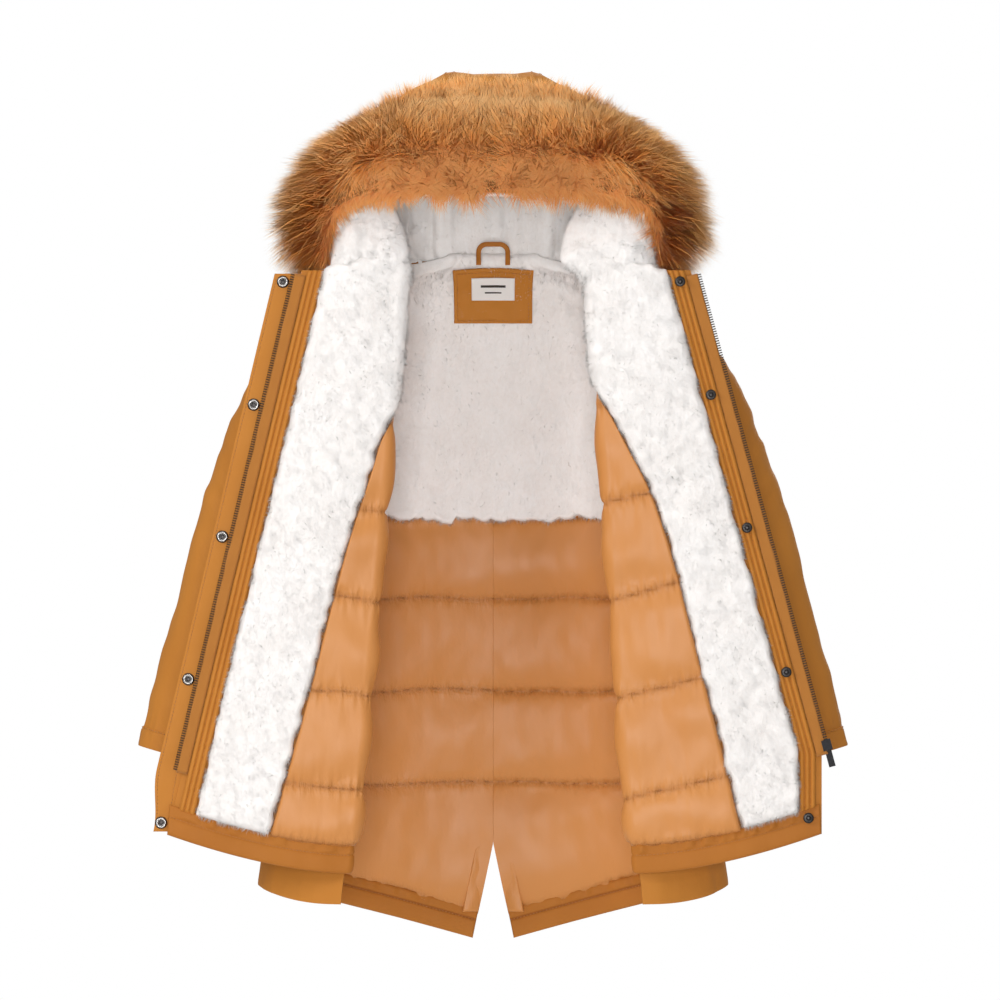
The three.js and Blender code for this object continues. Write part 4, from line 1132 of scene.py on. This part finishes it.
def hood_at(u, w, d, sink=0.0):
    """The hood moved out along its normal by d. Towards the nape its feet are drawn down to the shoulder,
    and its last rows sink by the given height, to meet the neck."""
    u, w = np.broadcast_arrays(np.asarray(u, float), np.asarray(w, float))
    foot = hood(0 * u, w)
    gap = np.clip(foot[..., 2] - shoulder_height(foot[..., 0], foot[..., 1]) + 4, 0, 34) * ease(0.25, 0.5, w)
    rise = np.clip(np.sin(np.pi * u), 1e-9, 1) ** np.interp(w, [0, 1], [0.4, 1])
    drop = np.maximum(gap * (1 - ease(0, 0.4, rise)), sink * ease(0.88, 1, w))
    return hood(u, w) + hood_normal(u, w) * np.asarray(d)[..., None] - drop[..., None] * [0, 0, 1]


def arch_places(n):
    """Places over the arch, closer together towards its feet, where it runs straight up."""
    t = np.linspace(-1, 1, n)
    return 0.5 + 0.5 * np.sign(t) * (1 - (1 - np.abs(t)) ** 2.5)


def make_hood():
    u, w = arch_places(150)[None, :], places(100, 0.008, 3)[:, None]
    p = hood(u + 0 * w, w + 0 * u)
    x = p[..., 0]
    down = w * HOOD_DEPTH + 0 * u
    panel = np.exp(-(((np.abs(x) - HOOD_SEAM) / 2.4) ** 2))
    fold = ripples(401, 80, 1.1, 0.9)(x, down) * 2.4 + ripples(402, 34, 1, 1)(x, down) * 0.7
    ridge = 8 * np.exp(-(((np.abs(x) - HOOD_SEAM) / 20) ** 2))
    ridge = ridge * np.exp(-(((w - 0.52) / 0.22) ** 2)) * ease(0, 60, p[..., 2])
    lift = (np.clip(1.6 + fold, -0.5, 7) + ridge) * ease(0, 0.04, 1 - w) - 1.4 * panel
    solid = slab(hood_at(u, w, lift, HOOD_SINK), hood_at(u, w, lift - 2.2, HOOD_SINK))
    made = piece("hood_cloth", solid, shell, "hood", ("hood_shell",))
    runs = []
    for offset in (HOOD_SEAM - 2.8, HOOD_SEAM + 2.8):
        for side in (-1, 1):
            j = np.abs(side * offset - p[..., 0][4:-8]).argmin(1)
            rows = np.arange(4, 4 + len(j))
            line = hood_at(u[0, j], w[rows, 0], lift[rows, j] + 0.3, HOOD_SINK)
            runs.append(band_stitches(line, hood_normal(u[0, j], w[rows, 0])))
    piece("hood_seam_stitches", joined(*runs), thread, "hood")

    u, w = arch_places(170)[None, :], places(96, 0.02, 4)[:, None]
    p = hood(u + 0 * w, w + 0 * u)
    x = p[..., 0]
    gather = ripples(411, 46, 1.0, 6.0)(x, w * 300 + 0 * u)
    gather = -np.abs(gather) ** 0.8 * 7 * ease(0.35, 0.8, w) - ripples(412, 70)(x, w * 300) * 3
    height = (9.5 + pile_relief(x, w * HOOD_DEPTH + 0 * u, 413) + gather) * shoulder(w[:, 0], 0.02)[:, None]
    height = np.clip(height, 0.5, 20)
    ground = hood_at(u, w, -4.6 - height, HOOD_LINING_SINK)
    back = hood_at(u, w, -3.4 + 0 * height, HOOD_LINING_SINK)
    made = piece("hood_plush_ground", slab(ground, back), plush, "hood", ("hood_plush",))
    plush_areas["hood"] = ground


def make_collars():
    """The plush rolls that stand beside the neck where the facings run up into the hood: a lens in
    section, narrowing upwards."""
    for name, side in (("right", -1), ("left", 1)):
        cols, rows = places(46, 0.06, 5), places(60, 0.06, 5)
        z = lerp(-46, 64, rows)[:, None] + 0 * cols[None, :]
        v = (z + 22) / 68
        foot = 102 if side < 0 else 82
        outer, inner = 198 - 7 * v, foot + 20 * np.clip(v, 0, 2) ** 2 + 24 * ease(-18, -46, z)
        x = lerp(inner, outer, cols[None, :])
        plump = shoulder(cols, 0.42)[None, :] * shoulder(rows, 0.3)[:, None]
        lump = pile_relief(x, z, 431 + side) * 2
        front_y = lerp(-96, -76, ease(-46, 60, z)) + 5 * np.sin((x - inner) / 17 + z / 30) * plump
        face = np.stack([side * x, front_y - (19 + lump) * plump, z], -1)
        back = np.stack([side * x, front_y + 3 + 6 * plump, z], -1)
        made = piece(name + "_collar_ground", slab(face, back), plush, "hood", (name + "_collar",))
        plush_areas[name + "_collar"] = face


# ---------------------------------------------------------------- pile and fur


def ribbons(roots, heading, bend, length, width, flat, steps, shade):
    """Strands as tapering ribbons. The middle line is root + length (heading t + bend t^2); the ribbon lies
    along tangent x flat and its width falls with (1 - t)^0.7, down to one point at the tip."""
    t = np.linspace(0, 1, steps + 1)[None, :, None]
    line = roots[:, None] + length[:, None, None] * (heading[:, None] * t + bend[:, None] * t**2)
    tangent = unit(heading[:, None] + 2 * bend[:, None] * t)
    across = unit(np.cross(tangent, flat[:, None])) * (width[:, None, None] * (1 - t) ** 0.7 / 2)
    left, right = (line - across)[:, :-1], (line + across)[:, :-1]
    n = len(roots)
    pairs = np.stack([left, right], 2).reshape(n, 2 * steps, 3)
    points = np.concatenate([pairs, line[:, -1:]], 1)
    k = np.arange(steps - 1) * 2
    tri = np.concatenate([np.stack([k, k + 1, k + 3], -1), np.stack([k, k + 3, k + 2], -1),
                          [[2 * steps - 2, 2 * steps - 1, 2 * steps]]]).astype(int)
    faces = tri[None] + (2 * steps + 1) * np.arange(n)[:, None, None]
    v = np.concatenate([np.repeat(t[0, :-1, 0], 2), [1.0]])
    u = np.tile(np.concatenate([np.tile([0.0, 1.0], steps), [0.5]]) * 0.012, (n, 1)) + shade[:, None] * 0.98
    uv = np.stack([u, np.tile(v, (n, 1))], -1)
    return points.reshape(-1, 3), faces.reshape(-1, 3), uv.reshape(-1, 2)


def strands(name, made, finish, body, normals=None):
    """Puts ribbons into the scene with their root-to-tip map, lit by the normals of the ground they grow on."""
    points, faces, uv = made
    o = piece(name, (points, faces), finish, body, closed=False)
    layer = o.data.uv_layers.new(name="OFBake")
    index = np.zeros(len(o.data.loops), np.int32)
    o.data.loops.foreach_get("vertex_index", index)
    layer.data.foreach_set("uv", uv[index].astype(np.float32).ravel())
    if normals is not None:
        o.data.normals_split_custom_set_from_vertices(normals.reshape(-1, 3))
    return o


def on_grid(grid, count, rng):
    """Random points on a grid surface, spread by the area of its quads, with the surface's normals there."""
    a, b, c, d = grid[:-1, :-1], grid[:-1, 1:], grid[1:, 1:], grid[1:, :-1]
    cross = np.cross(c - a, d - b)
    area = np.linalg.norm(cross, axis=-1)
    pick = rng.choice(area.size, count, p=(area / area.sum()).ravel())
    i, j = np.unravel_index(pick, area.shape)
    s, t = rng.random((2, count, 1))
    point = lerp(lerp(a[i, j], b[i, j], s), lerp(d[i, j], c[i, j], s), t)
    return point, unit(cross[i, j])


def make_pile(name, grid, body, count, seed):
    """Short pile on a plush ground: one narrow leaf a strand, leaning downwards and about."""
    rng = np.random.default_rng(seed)
    roots, normal = on_grid(grid, count, rng)
    normal = normal * np.where(normal[:, 1].mean() > 0, -1, 1)
    x, z = roots[:, 0], roots[:, 2]
    lean = np.stack([0.5 * ripples(seed, 26)(x, z), 0 * x, 0.4 * ripples(seed + 1, 30)(x, z)], -1)
    heading = unit(normal * 0.55 + lean * 0.7 + rng.normal(0, 0.14, (count, 3)) + [0, 0, -0.4])
    bend = rng.normal(0, 0.08, (count, 3)) + [0, 0, -0.1]
    flat = unit(normal + rng.normal(0, 0.3, (count, 3)))
    length, width = rng.uniform(4.0, 7.0, count), rng.uniform(0.4, 0.75, count)
    made = ribbons(roots - normal * 0.6, heading, bend, length, width, flat, 1, rng.random(count))
    light = np.repeat(unit(normal + heading * 0.15)[:, None], 3, 1)
    return strands(name, made, pile, body, light)


def hood_spots(count, rng, reach):
    """Random places over the hood's front, spread by the area of the surface."""
    u, w = arch_places(200), np.linspace(0, reach, 24)
    grid = hood(u[None, :] + 0 * w[:, None], w[:, None] + 0 * u)
    area = np.linalg.norm(np.cross(grid[1:, 1:] - grid[:-1, :-1], grid[1:, :-1] - grid[:-1, 1:]), axis=-1)
    i, j = np.unravel_index(rng.choice(area.size, count, p=(area / area.sum()).ravel()), area.shape)
    return u[j] + np.diff(u)[j] * rng.random(count), w[i] + (w[1] - w[0]) * rng.random(count)


def nearest_to(points, targets):
    """The index of the target nearest to each point."""
    parts = [((p[:, None] - targets[None]) ** 2).sum(-1).argmin(1) for p in np.array_split(points, 12)]
    return np.concatenate(parts)


def make_fur():
    """The trim: long hair over the band next to the opening. Near the opening it leans forward over the
    edge; further back it sweeps away from the opening and out, and at the feet it hangs. Hair gathers in
    locks: each strand's tip is drawn to the tip of its lock."""
    u, w = arch_places(150)[None, :], lerp(0, FUR_BAND, places(30, 0.06, 3))[:, None]
    lump = 1.5 * ripples(501, 30)(hood(u + 0 * w, w + 0 * u)[..., 0], w * 400 + 0 * u)
    outer = hood_at(u, w, 7 + lump)
    inner = hood_at(u, w, 2.6 + 0 * lump)
    piece("fur_trim_ground", slab(outer, inner), fur_ground, "hood", ("fur_trim",))
    rng = np.random.default_rng(511)
    count, locks = FUR_STRANDS, FUR_LOCKS
    for part in range(FUR_PARTS):
        uu, ww = hood_spots(count, rng, FUR_BAND)
        normal = hood_normal(uu, ww)
        roots = hood_at(uu, ww, FUR_ROOT + 0 * uu)
        back = unit(hood(uu, ww + 0.02) - hood(uu, ww))
        share = ww / FUR_BAND
        # locks
        lu, lw = hood_spots(locks, rng, FUR_BAND)
        lock_root = hood_at(lu, lw, FUR_ROOT + 0 * lu)
        nearest = nearest_to(roots, lock_root)
        sway = rng.normal(0, 0.22, (locks, 3))
        lock_len = rng.uniform(0.8, 1.12, locks)
        side = ease(0.35, 0.95, np.abs(roots[:, 0]) / 190)
        feet = ease(30, -26, roots[:, 2])
        over = ease(0.42, 0.3, share)
        lean = lerp(0.8, -0.1, side)
        sweep = normal * lerp(0.7, 1.0, side)[:, None] + back * lerp(0.75, 0.2, side)[:, None]
        fringe = normal * lean[:, None] - back * 0.9 + np.stack([0 * feet, 0 * feet, -0.2 - 0.3 * side], -1)
        heading = sweep * (1 - over)[:, None] + fringe * over[:, None]
        ahead = -0.3 - 0.1 * share - 0.6 * feet
        down = -0.2 * side - 0.8 * feet * (1 - over)
        heading = heading + np.stack([0 * feet, ahead, down], -1)
        stray = rng.normal(0, 0.1, (count, 3)) * (1 + 1.2 * over)[:, None]
        heading = unit(unit(heading) + sway[nearest] * (0.7 + 0.9 * over)[:, None] + stray)
        bend = np.stack([0 * feet, 0 * feet, -(0.1 + 0.14 * side + 0.22 * feet)], -1) + sway[nearest] * 0.4
        length = lerp(lerp(78, 100, side), lerp(42, 26, side), over) * lock_len[nearest]
        length = length * rng.uniform(0.8, 1.05, count)
        length = np.where(rng.random(count) < 0.25 + 0.3 * over, length * 0.6, length)
        outline = rng.uniform(0.9, 1.04, count) * lerp(1, lock_len[nearest], 0.5)
        for _ in range(8):
            tip = roots + length[:, None] * (heading + bend)
            above = tip[:, 2] > 20
            tall = np.abs(tip[:, 2] - 20) / np.where(above, 163, 84)
            reach = (np.abs(tip[:, 0]) / 283) ** 2.3 + tall ** np.where(above, 2.3, 6)
            beyond = (reach > outline) | (tip[:, 1] < -150)
            length = np.where(beyond, np.maximum(length * 0.9, 16), length)
        tip = roots + length[:, None] * (heading + bend)
        lock_sum = np.zeros((locks, 3))
        np.add.at(lock_sum, nearest, tip)
        lock_tip = lock_sum / np.maximum(np.bincount(nearest, minlength=locks), 1)[:, None]
        pull = rng.uniform(0.15, 0.5, (count, 1)) * np.minimum(length / 60, 1)[:, None]
        bend = bend + (lock_tip[nearest] - tip) / length[:, None] * pull
        flat = unit(normal + rng.normal(0, 0.45, (count, 3)))
        # the per-strand value, which the fur finish turns darker and more orange: random, lowered on the sides as
        # painted light and raised on the fringe as painted shade
        made = ribbons(roots, heading, bend, length, rng.uniform(0.6, 1.1, count), flat, 3,
                       np.clip(rng.random(count) * 0.6 - 0.2 * side + 0.75 * over, 0, 1))
        toward = normal * lerp(0.45, 0.15, side)[:, None] + flat * lerp(0.3, 0.7, over)[:, None]
        light = np.repeat(unit(toward - [0, 0.8, 0])[:, None], 7, 1)
        strands(f"fur_trim_hair_{part + 1}", made, fur, "hood", light)


# ---------------------------------------------------------------- neck patch, label and loop


def nape_at(x, z, d):
    """A point on the nape at a distance across and a height, moved from the shell's outer face by d."""
    angle = np.arcsin(np.clip(x / (half_width(z) - 15), -1, 1))
    return torso_at(angle, z, d)


def make_nape():
    cols, rows = places(60, 0.02, 3), places(50, 0.03, 3)
    x, z = lerp(-47, 47, cols)[None, :] + 0 * rows[:, None], lerp(-14, -88, rows)[:, None] + 0 * cols[None, :]
    near = shoulder(rows, 0.03)[:, None] * shoulder(cols, 0.02)[None, :]
    inset = np.minimum(np.minimum(x + 47, 47 - x), np.minimum(-14 - z, z + 88))
    stitch = np.exp(-(((inset - 4) / 1.1) ** 2))
    d = -20.2 - (1.6 + 0.7 * ripples(601, 30)(x, z) - 0.6 * stitch) * near
    face = nape_at(x, z, d)
    piece("neck_patch_cloth", slab(face, nape_at(x, z, -18.6 + 0 * x)), shell, "body", ("neck_patch",))
    t = np.linspace(0, 1, 60)[:-1]
    corners = np.array([(-43.0, -18.0), (43.0, -18.0), (43.0, -84.0), (-43.0, -84.0), (-43.0, -18.0)])
    square = np.vstack([lerp(a, b, t[:, None]) for a, b in zip(corners, corners[1:])] + [corners[-1:]])
    line = nape_at(square[:, 0], square[:, 1], -22.3 + 0 * square[:, 0])
    piece("neck_patch_stitches", band_stitches(line, np.tile([0.0, -1.0, 0.0], (len(line), 1))), thread, "body")

    cols, rows = places(40, 0.03, 3), places(30, 0.04, 3)
    x, z = lerp(-26, 26, cols)[None, :] + 0 * rows[:, None], lerp(-24, -56, rows)[:, None] + 0 * cols[None, :]
    near = shoulder(rows, 0.04)[:, None] * shoulder(cols, 0.03)[None, :]
    d = -23.6 - (0.7 + 0.2 * ripples(611, 24)(x, z)) * near
    piece("neck_label_cloth", slab(nape_at(x, z, d), nape_at(x, z, -22.9 + 0 * x)), label_cloth, "body",
          ("neck_label",))
    bars = []
    for z0, half, tall in ((-36.0, 15.0, 3.2), (-45.0, 10.0, 1.6)):
        t, k = np.linspace(-1, 1, 30), np.linspace(-1, 1, 5)
        x, z = t[None, :] * half + 0 * k[:, None], z0 + k[:, None] * tall / 2 + 0 * t[None, :]
        bars.append(slab(nape_at(x, z, -24.9 + 0 * x), nape_at(x, z, -24.1 + 0 * x)))
    piece("neck_label_bars", joined(*bars), print_ink, "body")

    # the loop: a folded strap bent into an arch
    half, top, legs = 18.0, 4.0, -22.0
    turn = np.linspace(0, np.pi / 2, 9)
    r = 10.0
    right = np.stack([half - r + r * np.cos(turn), top - r + r * np.sin(turn)], -1)
    left = right[::-1] * [-1, 1]
    down = np.linspace(legs, top - r, 10)
    bar = np.linspace(half - r, r - half, 8)[1:-1]
    path = np.vstack([np.stack([half + 0 * down, down], -1)[:-1], right, np.stack([bar, top + 0 * bar], -1),
                      left, np.stack([0 * down - half, down[::-1]], -1)[1:]])
    tangent = unit(np.gradient(path, axis=0))
    out = np.stack([tangent[:, 1], -tangent[:, 0]], -1)
    cross = np.linspace(0, 2 * np.pi, 16, endpoint=False)
    wide = 3.0 * np.sign(np.cos(cross)) * np.abs(np.cos(cross)) ** 0.5
    thick = 1.35 * np.sign(np.sin(cross)) * np.abs(np.sin(cross)) ** 0.6
    lean = 46.2 - 6 * ease(0, -22, path[:, 1])
    grid = np.stack([path[:, :1] + out[:, :1] * wide, lean[:, None] + thick,
                     path[:, 1:] + out[:, 1:] * wide], -1)
    piece("hang_loop_strap", capped(grid), shaded_band_cloth, "body", ("hang_loop",))


def make_slider():
    """The slider's enamel body and pull keep their own solids."""
    for node in ("zip_slider", "zip_pull"):
        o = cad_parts[node]
        o.data.materials.clear()
        o.data.materials.append(slider_metal.material)


# ---------------------------------------------------------------- camera, light and floor


def make_studio():
    scene = bpy.context.scene
    lens = bpy.data.cameras.new("camera")
    lens.lens = 300
    lens.sensor_width = 36
    camera = bpy.data.objects.new("camera", lens)
    bpy.context.collection.objects.link(camera)
    camera.location = (0.0085, -0.14 - 1.22 * 300 / 36, -0.3133)
    camera.rotation_euler = (math.pi / 2, 0, 0)
    scene.camera = camera
    for name, place, size, power, tint in (
        ("key", (-3.2, -2.6, 1.5), 1.6, 78, (1, 0.985, 0.965)),
        ("front", (-0.2, -5.6, -0.55), 1.8, 150, (1, 1, 1)),
        ("fill", (2.8, -3.2, 0.2), 3.0, 10, (0.97, 0.985, 1)),
        ("top", (0.2, -0.8, 2.8), 2.2, 30, (1, 1, 1)),
        ("back", (0.6, 3.4, 0.9), 2.6, 90, (1, 1, 1)),
    ):
        light = bpy.data.lights.new(name, "AREA")
        light.size = size
        light.energy = power
        light.color = tint
        lamp = bpy.data.objects.new(name, light)
        bpy.context.collection.objects.link(lamp)
        lamp.location = place
        aim = np.array([0, 0, -0.35]) - np.array(place)
        tilt = math.atan2(math.hypot(aim[0], aim[1]), -aim[2])
        lamp.rotation_euler = (tilt, 0, math.atan2(aim[1], aim[0]) - math.pi / 2)
    world = bpy.data.worlds.new("studio")
    world.use_nodes = True
    scene.world = world
    tree = world.node_tree
    sky = tree.nodes["Background"]
    seen = tree.nodes.new("ShaderNodeLightPath")
    level = tree.nodes.new("ShaderNodeMapRange")
    level.inputs["To Min"].default_value = 0.3
    level.inputs["To Max"].default_value = 1.0
    tree.links.new(seen.outputs["Is Camera Ray"], level.inputs["Value"])
    tree.links.new(level.outputs["Result"], sky.inputs["Strength"])
    sky.inputs["Color"].default_value = (1, 1, 1, 1)
    scene.view_settings.view_transform = "Standard"

    turn = np.linspace(0, 2 * np.pi, 96, endpoint=False)
    r = np.array([0.02, 0.6, 1.2, 1.7, 1.96, 2.0])[:, None]
    dip = np.array([0, 0, 0, 0, 0, -0.02])[:, None]
    top = np.stack([r * np.cos(turn), r * np.sin(turn), -1.5 + dip + 0 * turn], -1)
    under = np.stack([r * np.cos(turn), r * np.sin(turn), -1.53 + 0 * r + 0 * turn], -1)
    points, faces = tube(top, under)
    floor = bpy.data.meshes.new("floor")
    floor.from_pydata(points.tolist(), [], faces.tolist())
    f = Finish("pale floor", "floor")
    tone = f.mix(f.noise(3, 2), paint(240, 239, 237), paint(247, 246, 245))
    f.feed(Base_Color=tone, Roughness=f.noise(8, 2) * 0.1 + 0.7)
    floor.materials.append(f.material)
    made = bpy.data.objects.new("floor", floor)
    bpy.context.collection.objects.link(made)
    made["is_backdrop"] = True


# ---------------------------------------------------------------- everything

plush_areas = {}
make_studio()
make_torso_cloth()
make_back_lining()
make_back_plush()
make_vent_facings()
make_back_bands()
for name, front in FRONTS.items():
    make_side_lining(name, front)
    make_front(name, front)
    make_zip(name, front)
    make_sleeve(front["side"], name)
make_flap()
make_snaps()
make_slider()
make_hood()
make_collars()
make_nape()
make_pile("back_pile", plush_areas["back"], "body", PILE["back"], 701)
make_pile("hood_pile", plush_areas["hood"], "hood", PILE["hood"], 702)
for k, name in enumerate(("right", "left")):
    front_pile = make_pile(name + "_front_pile", plush_areas[name], None, PILE["front"], 710 + 10 * k)
    wrapped(front_pile, FRONTS[name])
    make_pile(name + "_collar_pile", plush_areas[name + "_collar"], "hood", PILE["collar"], 740 + 10 * k)
make_fur()

low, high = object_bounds()
{"cad": [list(cad_low), list(cad_high)], "visual": [list(low), list(high)]}
